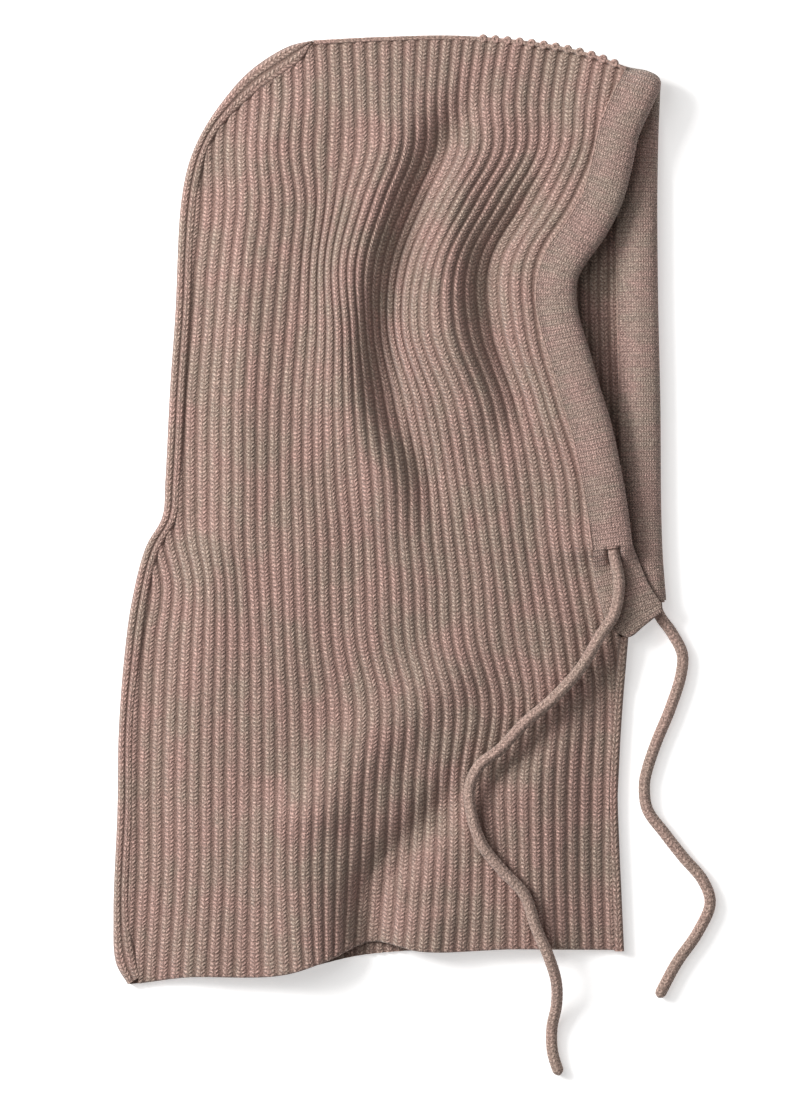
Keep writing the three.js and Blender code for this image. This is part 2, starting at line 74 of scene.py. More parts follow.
# The least angle, in degrees, that is shaded as a sharp rim
SHARP_ANGLE = 72
# Points of a layer closer than this are one point
MERGE_GAP = 0.00001


# ---------------------------------------------------------------- shapes


def bend(t: Array, ends: tuple[Array, Array], tangents: tuple[Array, Array]) -> Array:
    """Reads a cubic curve between two values.

    Args:
        t: shares of the way, from 0 to 1.
        ends: the values at 0 and at 1.
        tangents: the slopes there, times the width between them.

    Returns:
        The curve's value at each share.
    """
    return (
        (2 * t**3 - 3 * t**2 + 1) * ends[0]
        + (t**3 - 2 * t**2 + t) * tangents[0]
        + (-2 * t**3 + 3 * t**2) * ends[1]
        + (t**3 - t**2) * tangents[1]
    )


def ease(knots: Array, values: Array, at: Array) -> Array:
    """Runs a smooth curve through values given at rising knots.

    Args:
        knots: rising positions, one for each row of values.
        values: a row of numbers for each knot.
        at: positions to read the curve at.

    Returns:
        The curve's value at each position, straight past its ends.
    """
    knots, values, at = (np.asarray(item, float) for item in (knots, values, at))
    steps = np.diff(knots)
    shape = (-1,) + (1,) * (values.ndim - 1)
    slopes = np.diff(values, axis=0) / steps.reshape(shape)
    tangents = np.empty_like(values)
    tangents[0], tangents[-1] = slopes[0], slopes[-1]
    weight = (steps[1:] / (steps[1:] + steps[:-1])).reshape(shape)
    tangents[1:-1] = slopes[:-1] * weight + slopes[1:] * (1 - weight)
    index = np.clip(np.searchsorted(knots, at, side="right") - 1, 0, len(steps) - 1)
    width = steps[index]
    t = np.clip((at - knots[index]) / width, 0, 1)
    extra = at - np.clip(at, knots[index], knots[index + 1])
    if values.ndim > 1:
        t, width, extra = t.reshape(shape), width.reshape(shape), extra.reshape(shape)
    ends = values[index], values[index + 1]
    curve = bend(t, ends, (tangents[index] * width, tangents[index + 1] * width))
    end = np.where(extra > 0, tangents[index + 1], tangents[index])
    return curve + extra * end


def smooth_step(value: Array) -> Array:
    """Eases a share from 0 to 1, flat at both ends."""
    t = np.clip(value, 0, 1)
    return t * t * (3 - 2 * t)


def travel(points: Array) -> Array:
    """Measures the distance travelled along a run of points, from 0 at the first."""
    return np.concatenate([[0], np.cumsum(np.linalg.norm(np.diff(points, axis=0), axis=1))])


def between(first: Array, second: Array, share: Array) -> Array:
    """Fills the space between two lines, a row for each pair of points and a column for each share."""
    return first[:, None, :] * (1 - share)[None, :, None] + second[:, None, :] * share[None, :, None]


def lifted(plan: Array, height: Array) -> Array:
    """Adds a height, or one for every row and column, to a grid of flat places."""
    return np.concatenate([plan, np.broadcast_to(height, plan.shape[:2])[:, :, None]], 2)


def along_points(points: Array, count: int) -> Array:
    """Spaces points evenly on a smooth curve through the given ones.

    Args:
        points: the places the curve passes through, in order.
        count: how many points to return.

    Returns:
        The spaced points, one for each row.
    """
    points = np.asarray(points, float)
    chords = np.linalg.norm(np.diff(points, axis=0), axis=1) ** 0.5
    knots = np.concatenate([[0], np.cumsum(chords)])
    fine = ease(knots, points, np.linspace(0, knots[-1], 24 * len(points)))
    travelled = travel(fine)
    wanted = np.linspace(0, travelled[-1], count)
    return np.stack([np.interp(wanted, travelled, fine[:, axis]) for axis in range(fine.shape[1])], 1)


def distance_to_path(x: Array, y: Array, path: Array) -> tuple[Array, Array]:
    """Measures how far places are from a drawn line.

    Args:
        x: places across.
        y: places along.
        path: the line's points, two numbers each.

    Returns:
        The distance to the line, and the share of the line at the nearest point.
    """
    best = np.full(np.shape(x), np.inf)
    share = np.zeros(np.shape(x))
    lengths = np.linalg.norm(np.diff(path, axis=0), axis=1)
    starts = np.concatenate([[0], np.cumsum(lengths)])
    for index, (a, b) in enumerate(zip(path[:-1], path[1:])):
        step = b - a
        t = np.clip(((x - a[0]) * step[0] + (y - a[1]) * step[1]) / (step @ step), 0, 1)
        gap = np.hypot(x - a[0] - t * step[0], y - a[1] - t * step[1])
        nearer = gap < best
        best = np.where(nearer, gap, best)
        share = np.where(nearer, (starts[index] + t * lengths[index]) / starts[-1], share)
    return best, share


def clear_selection() -> None:
    """Deselects every object."""
    for item in bpy.context.selected_objects:
        item.select_set(False)
    bpy.context.view_layer.objects.active = None


def take(piece: Piece) -> None:
    """Selects one object and makes it the active one.

    Args:
        piece: the object.
    """
    clear_selection()
    piece.select_set(True)
    bpy.context.view_layer.objects.active = piece


def knit_mesh(name: str, points: Array, faces: list, knit: Array) -> Piece:
    """Makes a smooth piece from points and faces.

    Args:
        name: the piece's name.
        points: places in metres.
        faces: tuples of point numbers.
        knit: the wale and course at each point, for the UV map that the stitches follow.

    Returns:
        The new object.
    """
    mesh = bpy.data.meshes.new(name)
    mesh.from_pydata(np.asarray(points).tolist(), [], faces)
    mesh.validate()
    loops = np.empty(len(mesh.loops), int)
    mesh.loops.foreach_get("vertex_index", loops)
    layer = mesh.uv_layers.new(name="knit")
    layer.data.foreach_set("uv", np.asarray(knit, np.float32)[loops].ravel())
    mesh.update()
    return smooth_piece(name, mesh)


def smooth_piece(name: str, mesh: bpy.types.Mesh) -> Piece:
    """Sets a mesh out as an object, smooth all over but for its sharp rims.

    Args:
        name: the object's name.
        mesh: its mesh.

    Returns:
        The object.
    """
    piece = bpy.data.objects.new(name, mesh)
    bpy.context.scene.collection.objects.link(piece)
    take(piece)
    bpy.ops.object.shade_smooth_by_angle(angle=math.radians(SHARP_ANGLE))
    clear_selection()
    return piece


def grid_faces(rows: int, columns: int, start: int = 0, flip: bool = False) -> list:
    """Lists the squares of a grid of points.

    Args:
        rows: squares along.
        columns: squares across.
        start: the number of the first point.
        flip: whether the squares face the other way.

    Returns:
        A list of four-point faces.
    """
    j, i = np.meshgrid(np.arange(rows), np.arange(columns), indexing="ij")
    a = start + (j * (columns + 1) + i).ravel()
    corners = [a, a + 1, a + columns + 2, a + columns + 1]
    if flip:
        corners.reverse()
    return np.stack(corners, 1).tolist()


def rim_faces(rows: int, columns: int, start: int) -> list:
    """Joins the rim of a fine grid to that of the coarser one under it.

    Args:
        rows: squares along the fine grid.
        columns: squares across the fine grid.
        start: the number of the coarse grid's first point.

    Returns:
        The faces between the two rims.
    """
    rims = []
    for high, wide in ((rows, columns), (rows // SKIP, columns // SKIP)):
        row = wide + 1
        rim = list(range(wide))
        rim += [j * row + wide for j in range(high)]
        rim += [high * row + i for i in range(wide, 0, -1)]
        rim += [j * row for j in range(high, 0, -1)]
        rims.append(rim)
    fine_rim, coarse_rim = rims
    faces = []
    for k in range(len(coarse_rim)):
        fine = [fine_rim[(k * SKIP + m) % len(fine_rim)] for m in range(SKIP + 1)]
        low = [start + coarse_rim[k], start + coarse_rim[(k + 1) % len(coarse_rim)]]
        faces.append(tuple(low + fine[::-1]))
    return faces


def closed_layer(name: str, outer: Array, under: Array, knit: Array) -> Piece:
    """Makes a layer of knitting with a fine upper face and a plainer under face.

    Args:
        name: the piece's name.
        outer: the upper face's places, rows by columns by three.
        under: the under face's places at the same rows and columns.
        knit: the wale and course at the same rows and columns.

    Returns:
        The closed piece.
    """
    rows, columns = outer.shape[0] - 1, outer.shape[1] - 1
    low = under[::SKIP, ::SKIP]
    low_knit = knit[::SKIP, ::SKIP]
    points = np.concatenate([outer.reshape(-1, 3), low.reshape(-1, 3)])
    uv = np.concatenate([knit.reshape(-1, 2), low_knit.reshape(-1, 2)])
    start = outer.shape[0] * outer.shape[1]
    faces = grid_faces(rows, columns)
    faces += grid_faces(rows // SKIP, columns // SKIP, start, flip=True)
    faces += rim_faces(rows, columns, start)
    return knit_mesh(name, points, faces, uv)


def tube_mesh(name: str, rings: Array, knit: Array) -> Piece:
    """Makes a tube through a run of rings, closed at both ends by a flat face.

    Args:
        name: the piece's name.
        rings: rings by places by three.
        knit: the wale and course, rings by places plus one by two.

    Returns:
        The tube.
    """
    count, sides = rings.shape[:2]
    faces, corners = [], []
    for r in range(count - 1):
        for s in range(sides):
            t = (s + 1) % sides
            faces.append((r * sides + s, r * sides + t, (r + 1) * sides + t, (r + 1) * sides + s))
            corners += [(r, s), (r, s + 1), (r + 1, s + 1), (r + 1, s)]
    faces.append(tuple(range(sides - 1, -1, -1)))
    corners += [(0, s) for s in range(sides - 1, -1, -1)]
    faces.append(tuple((count - 1) * sides + s for s in range(sides)))
    corners += [(count - 1, s) for s in range(sides)]
    mesh = bpy.data.meshes.new(name)
    mesh.from_pydata(rings.reshape(-1, 3).tolist(), [], faces)
    layer = mesh.uv_layers.new(name="knit")
    places = np.array(corners)
    layer.data.foreach_set("uv", knit[places[:, 0], places[:, 1]].astype(np.float32).ravel())
    mesh.update()
    return smooth_piece(name, mesh)


def knitted_tube(
    name: str, path: Array, hint: tuple, radius: Array, sides: int, wales: int, courses: Array,
) -> Piece:
    """Knits a round tube along a path, facing outward.

    Args:
        name: the piece's name.
        path: close points along its middle.
        hint: the direction that its rings keep square to.
        radius: the radius at each point, or at each point and side.
        sides: places round each ring.
        wales: wales round it.
        courses: the course number at each point.

    Returns:
        The tube.
    """
    along = np.gradient(path, axis=0)
    along /= np.linalg.norm(along, axis=1, keepdims=True)
    beside = np.cross(along, np.array(hint))
    beside /= np.linalg.norm(beside, axis=1, keepdims=True)
    under = np.cross(along, beside)
    turn = np.linspace(0, 2 * math.pi, sides, endpoint=False)
    rings = path[:, None, :] + radius[:, :, None] * (
        beside[:, None, :] * np.cos(turn)[None, :, None]
        + under[:, None, :] * np.sin(turn)[None, :, None]
    )
    around = np.linspace(0, wales, sides + 1)
    knit = np.stack(np.broadcast_arrays(around[None, :], courses[:, None]), 2)
    return tube_mesh(name, rings, knit)


# ---------------------------------------------------------------- finishes


def linear(red: int, green: int, blue: int) -> tuple[float, float, float, float]:
    """Turns an 8-bit colour, none of its parts near black, into the linear one that shaders take."""
    return (*(((part / 255 + 0.055) / 1.055) ** 2.4 for part in (red, green, blue)), 1.0)


@dataclass(frozen=True)
class Wiring:
    """Adds and links the nodes of one tree."""

    tree: bpy.types.NodeTree

    def node(self, kind: str, **settings: object) -> bpy.types.Node:
        """Adds a node and sets its options.

        Args:
            kind: the node's type.
            settings: its options by name.

        Returns:
            The node.
        """
        made = self.tree.nodes.new(kind)
        for key, value in settings.items():
            setattr(made, key, value)
        return made

    def link(self, source: bpy.types.NodeSocket, target: bpy.types.NodeSocket) -> None:
        """Links two sockets."""
        self.tree.links.new(source, target)

    def fill(self, made: bpy.types.Node, values: dict) -> None:
        """Sets a node's inputs, or links them where a socket is given.

        Args:
            made: the node.
            values: a number, colour or socket for each input's name or place.
        """
        for key, value in values.items():
            if isinstance(value, bpy.types.NodeSocket):
                self.link(value, made.inputs[key])
            else:
                made.inputs[key].default_value = value

    def math(self, operation: str, *inputs: object) -> bpy.types.NodeSocket:
        """Adds a Math node.

        Args:
            operation: the node's operation.
            inputs: numbers or sockets, in order.

        Returns:
            The node's output.
        """
        made = self.node("ShaderNodeMath", operation=operation)
        self.fill(made, dict(enumerate(inputs)))
        return made.outputs[0]

    def blend(
        self, factor: object, first: object, second: object, mode: str = "MIX",
    ) -> bpy.types.NodeSocket:
        """Adds a colour Mix node.

        Args:
            factor: a number or socket.
            first: a colour or socket.
            second: a colour or socket.
            mode: how the two are mixed.

        Returns:
            The mixed colour.
        """
        made = self.node("ShaderNodeMix", data_type="RGBA", blend_type=mode)
        self.fill(made, {0: factor, 6: first, 7: second})
        return made.outputs[2]

    def noise(
        self, place: bpy.types.NodeSocket, scale: float, detail: float, roughness: float = 0.5,
    ) -> bpy.types.NodeSocket:
        """Adds a Noise node.

        Args:
            place: where the noise is read.
            scale: how fine it is.
            detail: how many finer layers it has.
            roughness: how strong they are.

        Returns:
            The noise, from 0 to 1.
        """
        made = self.node("ShaderNodeTexNoise")
        self.fill(made, {"Vector": place, "Scale": scale, "Detail": detail, "Roughness": roughness})
        return made.outputs["Fac"]

    def spread(
        self, value: bpy.types.NodeSocket, reach: tuple, onto: tuple = (0.0, 1.0),
    ) -> bpy.types.NodeSocket:
        """Adds a Map Range node.

        Args:
            value: the number to spread.
            reach: the least and most it is read between.
            onto: what those two become.

        Returns:
            The spread number.
        """
        made = self.node("ShaderNodeMapRange")
        labels = ("From Min", "From Max", "To Min", "To Max")
        self.fill(made, {"Value": value, **dict(zip(labels, reach + onto))})
        return made.outputs[0]


def new_group(name: str, inputs: list, outputs: list) -> tuple[Wiring, bpy.types.Node, bpy.types.Node]:
    """Starts a shader node group.

    Args:
        name: the group's name.
        inputs: the name, socket type and default of each input.
        outputs: the name and socket type of each output.

    Returns:
        The group's wiring, and its input and output nodes.
    """
    group = bpy.data.node_groups.new(name, "ShaderNodeTree")
    for label, kind, default in inputs:
        socket = group.interface.new_socket(name=label, in_out="INPUT", socket_type=kind)
        if default is not None:
            socket.default_value = default
    for label, kind in outputs:
        group.interface.new_socket(name=label, in_out="OUTPUT", socket_type=kind)
    wiring = Wiring(group)
    return wiring, wiring.node("NodeGroupInput"), wiring.node("NodeGroupOutput")


def build_stitch_group() -> bpy.types.NodeTree:
    """Makes the group that draws a knitted V for each wale and course.

    Returns:
        The group. Height is 1 on the yarn and 0 between; Groove is 1 between the wales.
    """
    floats = "NodeSocketFloat"
    w, entry, leave = new_group(
        "knitted stitch",
        [
            ("Knit", "NodeSocketVector", None),
            ("Place", "NodeSocketVector", None),
            ("Slope", floats, 1.1),
            ("Spread", floats, 1.0),
        ],
        [("Height", floats), ("Groove", floats)],
    )
    parts = w.node("ShaderNodeSeparateXYZ")
    w.link(entry.outputs["Knit"], parts.inputs[0])
    across = w.math("ABSOLUTE", w.math("SUBTRACT", w.math("FRACT", parts.outputs[0]), 0.5))
    lean = w.math("MULTIPLY", across, entry.outputs["Slope"])
    wobble = w.noise(entry.outputs["Place"], 380.0, 1.0)
    uneven = w.math("MULTIPLY_ADD", wobble, 0.6, parts.outputs[1])
    course = w.math("SUBTRACT", uneven, lean)
    wave = w.math("COSINE", w.math("MULTIPLY", course, 2 * math.pi))
    loop = w.math("MULTIPLY_ADD", wave, 0.5, 0.5)
    reach = w.math("MULTIPLY", across, entry.outputs["Spread"])
    filled = w.math("MINIMUM", w.math("MULTIPLY", reach, 2), 1.0)
    leg = w.math("SINE", w.math("MULTIPLY", filled, math.pi))
    leg = w.math("POWER", w.math("MAXIMUM", leg, 0.0), 0.8)
    height = w.math("MULTIPLY", w.math("POWER", loop, 0.9), leg)
    w.link(height, leave.inputs["Height"])
    w.link(w.math("POWER", filled, 5.0), leave.inputs["Groove"])
    return w.tree


def build_heather_group() -> bpy.types.NodeTree:
    """Makes the group that mixes the yarn's rosy and grey-green plies along the stitches.

    Returns:
        The group. Colour is the yarn's colour, Fuzz a fine fibre pattern from 0 to 1.
    """
    w, entry, leave = new_group(
        "heathered yarn",
        [
            ("Knit", "NodeSocketVector", None),
            ("Place", "NodeSocketVector", None),
            ("Rosy", "NodeSocketColor", (0.4, 0.25, 0.22, 1)),
            ("Stone", "NodeSocketColor", (0.3, 0.25, 0.2, 1)),
            ("Dark", "NodeSocketColor", (0.2, 0.13, 0.11, 1)),
        ],
        [("Colour", "NodeSocketColor"), ("Fuzz", "NodeSocketFloat")],
    )
    place = entry.outputs["Place"]
    streak_map = w.node("ShaderNodeMapping")
    w.fill(streak_map, {"Scale": (0.62, 0.075, 1.0), "Vector": entry.outputs["Knit"]})
    streak = w.math("MULTIPLY", w.noise(streak_map.outputs[0], 1.0, 3.0, 0.65), 0.45)
    ply = w.spread(w.math("MULTIPLY_ADD", w.noise(place, 46.0, 2.0), 0.55, streak), (0.42, 0.60))
    yarn = w.blend(ply, entry.outputs["Rosy"], entry.outputs["Stone"])
    fuzz = w.spread(w.noise(place, 1250.0, 2.5, 0.75), (0.38, 0.62))
    darker = w.math("MULTIPLY_ADD", fuzz, -0.46, 0.46)
    spun = w.blend(darker, yarn, entry.outputs["Dark"])
    pale = w.spread(w.noise(place, 1350.0, 1.5, 0.6), (0.37, 0.63), (0.55, 1.38))
    w.link(w.blend(1.0, spun, pale, "MULTIPLY"), leave.inputs["Colour"])
    w.link(fuzz, leave.inputs["Fuzz"])
    return w.tree


class Knit(Enum):
    """The knitted structures of the hood, with the look each one has."""

    RIB = "rib"
    JERSEY = "jersey"
    CORD = "cord"
    SEAM = "seam"


@dataclass(frozen=True)
class YarnFinish:
    """A heathered yarn knitted in one structure.

    Attributes:
        name: the material's name.
        rosy: the rosier ply.
        stone: the greyer ply.
        fleck_and_shade: the colour of the yarn's dark fibre flecks, and of the painted shade in the gaps
            and grooves between stitches.
        slope: how steeply the legs of each V rise.
        spread: how much of the wale its V leaves for the groove.
        relief: how far the stitches stand up, in metres.
        groove: how strongly painted shade darkens the groove between wales.
        shade: how strongly painted shade darkens the gaps in a wale.
    """

    name: str
    rosy: tuple
    stone: tuple
    fleck_and_shade: tuple
    slope: float
    spread: float
    relief: float
    groove: float
    shade: float

    FUZZ: ClassVar[float] = 0.45
    WOOL: ClassVar[dict] = {
        "Roughness": 0.95, "Specular IOR Level": 0.15, "Sheen Weight": 0.25, "Sheen Roughness": 0.6,
    }

    def build(self, stitch: bpy.types.NodeTree, heather: bpy.types.NodeTree) -> bpy.types.Material:
        """Makes the material.

        Args:
            stitch: the group that draws the Vs.
            heather: the group that mixes the plies.

        Returns:
            The material.
        """
        material = bpy.data.materials.new(self.name)
        material.use_nodes = True
        material.node_tree.nodes.clear()
        w = Wiring(material.node_tree)
        maps = {
            "Knit": w.node("ShaderNodeUVMap", uv_map="knit").outputs[0],
            "Place": w.node("ShaderNodeTexCoord").outputs["Object"],
        }
        loops = w.node("ShaderNodeGroup", node_tree=stitch)
        w.fill(loops, {"Slope": self.slope, "Spread": self.spread, **maps})
        yarn = w.node("ShaderNodeGroup", node_tree=heather)
        w.fill(yarn, {"Rosy": self.rosy, "Stone": self.stone, "Dark": self.fleck_and_shade, **maps})
        # Painted shade: the gaps between the loops of each V and the groove between wales are blended
        # towards the dark colour.
        gap = w.math("MULTIPLY_ADD", loops.outputs["Height"], -self.shade, self.shade)
        colour = w.blend(gap, yarn.outputs["Colour"], self.fleck_and_shade)
        valley = w.math("MULTIPLY", loops.outputs["Groove"], self.groove)
        colour = w.blend(valley, colour, self.fleck_and_shade)
        fibre = w.math("MULTIPLY_ADD", yarn.outputs["Fuzz"], self.FUZZ, loops.outputs["Height"])
        bump = w.node("ShaderNodeBump")
        w.fill(bump, {"Strength": 1.0, "Distance": self.relief, "Height": fibre})
        shader = w.node("ShaderNodeBsdfPrincipled")
        w.fill(shader, {"Base Color": colour, "Normal": bump.outputs[0], **self.WOOL})
        out = w.node("ShaderNodeOutputMaterial")
        w.link(shader.outputs[0], out.inputs["Surface"])
        return material


@dataclass
class Wardrobe:
    """Every finish of the hood, made once."""

    materials: dict = field(default_factory=dict)

    # Each finish gives the rosy ply, the grey ply, and one dark colour for the yarn's fibre flecks and
    # for the painted shade between stitches.
    FINISHES = {
        Knit.RIB: YarnFinish(
            "heathered rib knit", linear(231, 190, 177), linear(215, 192, 174), linear(92, 63, 53),
            slope=1.7, spread=1.3, relief=0.00055, groove=0.05, shade=0.66,
        ),
        Knit.JERSEY: YarnFinish(
            "heathered jersey knit", linear(230, 191, 179), linear(216, 193, 176), linear(86, 60, 51),
            slope=1.4, spread=1.15, relief=0.0005, groove=0.16, shade=0.50,
        ),
        Knit.CORD: YarnFinish(
            "knitted cord", linear(206, 175, 162), linear(196, 173, 158), linear(90, 63, 54),
            slope=1.0, spread=0.8, relief=0.0003, groove=0.10, shade=0.36,
        ),
        Knit.SEAM: YarnFinish(
            "linking yarn", linear(212, 174, 162), linear(196, 172, 156), linear(86, 60, 51),
            slope=0.7, spread=0.9, relief=0.0003, groove=0.1, shade=0.40,
        ),
    }

    def prepare(self) -> None:
        """Makes the shared groups and every material."""
        stitch, heather = build_stitch_group(), build_heather_group()
        for knit, finish in self.FINISHES.items():
            self.materials[knit] = finish.build(stitch, heather)

    def dress(self, piece: Piece, knit: Knit, node: str, body: str = HOOD) -> None:
        """Gives a piece its material and slot and the body it rides, and hides the frame's piece that it
        stands for.

        Args:
            piece: the piece.
            knit: its knitted structure.
            node: the piece of the frame that it replaces.
            body: the body it moves with.
        """
        piece.data.materials.clear()
        piece.data.materials.append(self.materials[knit])
        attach(piece, body)
        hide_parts(node)


# ---------------------------------------------------------------- levels and outline


@dataclass
class Lay:
    """The garment's outline on the surface, and the levels that its layers lie at, in metres.

    Places are shares of the half width and half length, up being towards the crown.
    """

    rib_fabric: float = 0.0024
    cord_diameter: float = 0.0062
    casing_width: float = 0.021
    casing_half_height: float = 0.0053
    chin_level: float = 0.0121
    cord_level: float = 0.0167
    edge_level: float = 0.0039
    plateau_top: float = 0.0133
    gap: float = 0.0003
    half_width: float = 0.0
    half_length: float = 0.0

    BACK = (
        (-0.947, -1.0), (-0.99, -0.955), (-0.9995, -0.854), (-0.985, -0.627), (-0.981, -0.474),
        (-0.963, -0.324), (-0.934, -0.194), (-0.883, -0.078), (-0.824, -0.015), (-0.813, 0.062),
        (-0.795, 0.264), (-0.777, 0.414), (-0.757, 0.643), (-0.729, 0.729), (-0.686, 0.79),
        (-0.6175, 0.853), (-0.51, 0.9245), (-0.37, 0.977),
    )
    STRIP_INNER = (
        (-0.897, -0.999), (-0.940, -0.854), (-0.928, -0.627), (-0.926, -0.453), (-0.904, -0.324),
        (-0.876, -0.194), (-0.854, -0.127), (-0.826, -0.078), (-0.768, -0.015), (-0.756, 0.062),
        (-0.738, 0.264), (-0.720, 0.414), (-0.711, 0.536), (-0.698, 0.643), (-0.675, 0.725),
        (-0.643, 0.777), (-0.592, 0.819), (-0.524, 0.857), (-0.463, 0.887), (-0.384, 0.918),
        (-0.325, 0.944), (-0.300, 0.965), (-0.286, 0.984), (-0.280, 1.000),
    )
    CROWN = (
        (-0.95, 0.960), (-0.37, 0.977), (-0.28, 0.99), (-0.04, 0.997), (0.254, 0.9995),
        (0.544, 0.983), (0.72, 0.958), (0.80, 0.940), (0.86, 0.925), (0.99, 0.90),
    )
    NEAR_HEM = (
        (-1.05, -1.0), (-0.947, -1.0), (-0.75, -0.985), (-0.34, -0.97), (-0.22, -0.945),
        (-0.08, -0.911), (0.1, -0.928), (0.45, -0.924), (0.838, -0.928), (0.95, -0.928),
    )
    FAR_HEM = (
        (-1.05, -1.0), (-0.947, -1.0), (-0.75, -0.985), (-0.34, -0.97), (-0.12, -0.94),
        (0.1, -0.928), (0.45, -0.924), (0.838, -0.928), (0.95, -0.928),
    )
    FRONT_NECK = (
        (0.838, -0.93), (0.828, -0.8), (0.815, -0.61), (0.828, -0.453), (0.8528, -0.2677),
    )

    def measure(self) -> None:
        """Takes the outline's size from the frame's own pieces."""
        furthest = 0.9995
        self.half_width = -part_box("back_edge_strip")[0].x / furthest
        self.half_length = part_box("crown_seam")[1].y / furthest
        low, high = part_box("chin_band")
        self.chin_level = (low.z + high.z) / 2
        self.plateau_top = high.z

    def base(self) -> float:
        """Gives the level just above the lower layer, where the upper one's under face lies."""
        return self.rib_fabric + self.gap

    def scale(self) -> Array:
        """Gives the half width and half length as a pair."""
        return np.array([self.half_width, self.half_length])

    def spot(self, shares: tuple) -> Array:
        """Turns pairs of shares into places in metres."""
        return np.asarray(shares, float) * self.scale()

    def across_at(self, shares: tuple, y: Array) -> Array:
        """Reads how far across a line that runs up the lay is at each height.

        Args:
            shares: the line's points, rising along the lay.
            y: places along the lay, in metres.

        Returns:
            The line's place across at each one.
        """
        points = self.spot(shares)
        return ease(points[:, 1], points[:, 0], y)

    def along_at(self, shares: tuple, x: Array) -> Array:
        """Reads how far along a line that crosses the lay is at each place across.

        Args:
            shares: the line's points, from the back to the front.
            x: places across the lay, in metres.

        Returns:
            The line's place along at each one.
        """
        points = self.spot(shares)
        return ease(points[:, 0], points[:, 1], x)


@dataclass
class CasingRoute:
    """The folded edge of the face casing, from the left chin over the brow to the right chin."""

    lay: Lay
    crown_station: int = 10
    brow_station: int = 12

    def stations(self) -> Array:
        """Lists the route's stations.

        Returns:
            Rows of across, along, height in metres and lean in degrees, 0 pointing to the back.
        """
        far = self.lay.casing_half_height
        near = self.lay.cord_level
        brow, cheek = near + 0.002, near - 0.0022
        crown = (far + near) / 2 + 0.001
        return np.array([
            (0.989, -0.19, far, -4), (0.977, -0.1, far, -4), (0.971, 0, far, -2),
            (0.968, 0.222, far, 0), (0.96, 0.437, far, 0), (0.957, 0.64, far, 0),
            (0.96, 0.77, far, 6), (0.964, 0.835, far, 14), (0.966, 0.862, far + 0.0008, 20),
            (0.966, 0.882, far + 0.0034, 23), (0.965, 0.889, crown, 24),
            (0.961, 0.88, brow - 0.0034, 24), (0.946, 0.86, brow - 0.0008, 23),
            (0.922, 0.83, brow, 21), (0.885, 0.78, brow - 0.0006, 18),
            (0.8635, 0.72, brow - 0.0016, 16), (0.8277, 0.643, brow - 0.0028, 22),
            (0.7631, 0.569, cheek + 0.0003, 31), (0.691, 0.51, cheek, 24),
            (0.6645, 0.462, cheek, 5), (0.677, 0.4, cheek + 0.0002, -9),
            (0.713, 0.33, cheek + 0.0008, -15), (0.7488, 0.256, near - 0.0005, -15),
            (0.785, 0.1886, near, -14), (0.8205, 0.094, near, -12), (0.846, 0.01, near, -10),
            (0.8635, -0.07, near, -10),
        ])

    def across(self, stations: Array, distance: float) -> Array:
        """Finds points inside the folded edge, across the band.

        Args:
            stations: rows of the route.
            distance: how far in from the fold, in metres.

        Returns:
            The points, three numbers each.
        """
        angle = np.radians(stations[:, 3])
        inward = np.stack([-np.cos(angle), np.sin(angle), 0 * angle], 1)
        base = np.column_stack([stations[:, :2] * self.lay.scale(), stations[:, 2]])
        return base + inward * distance


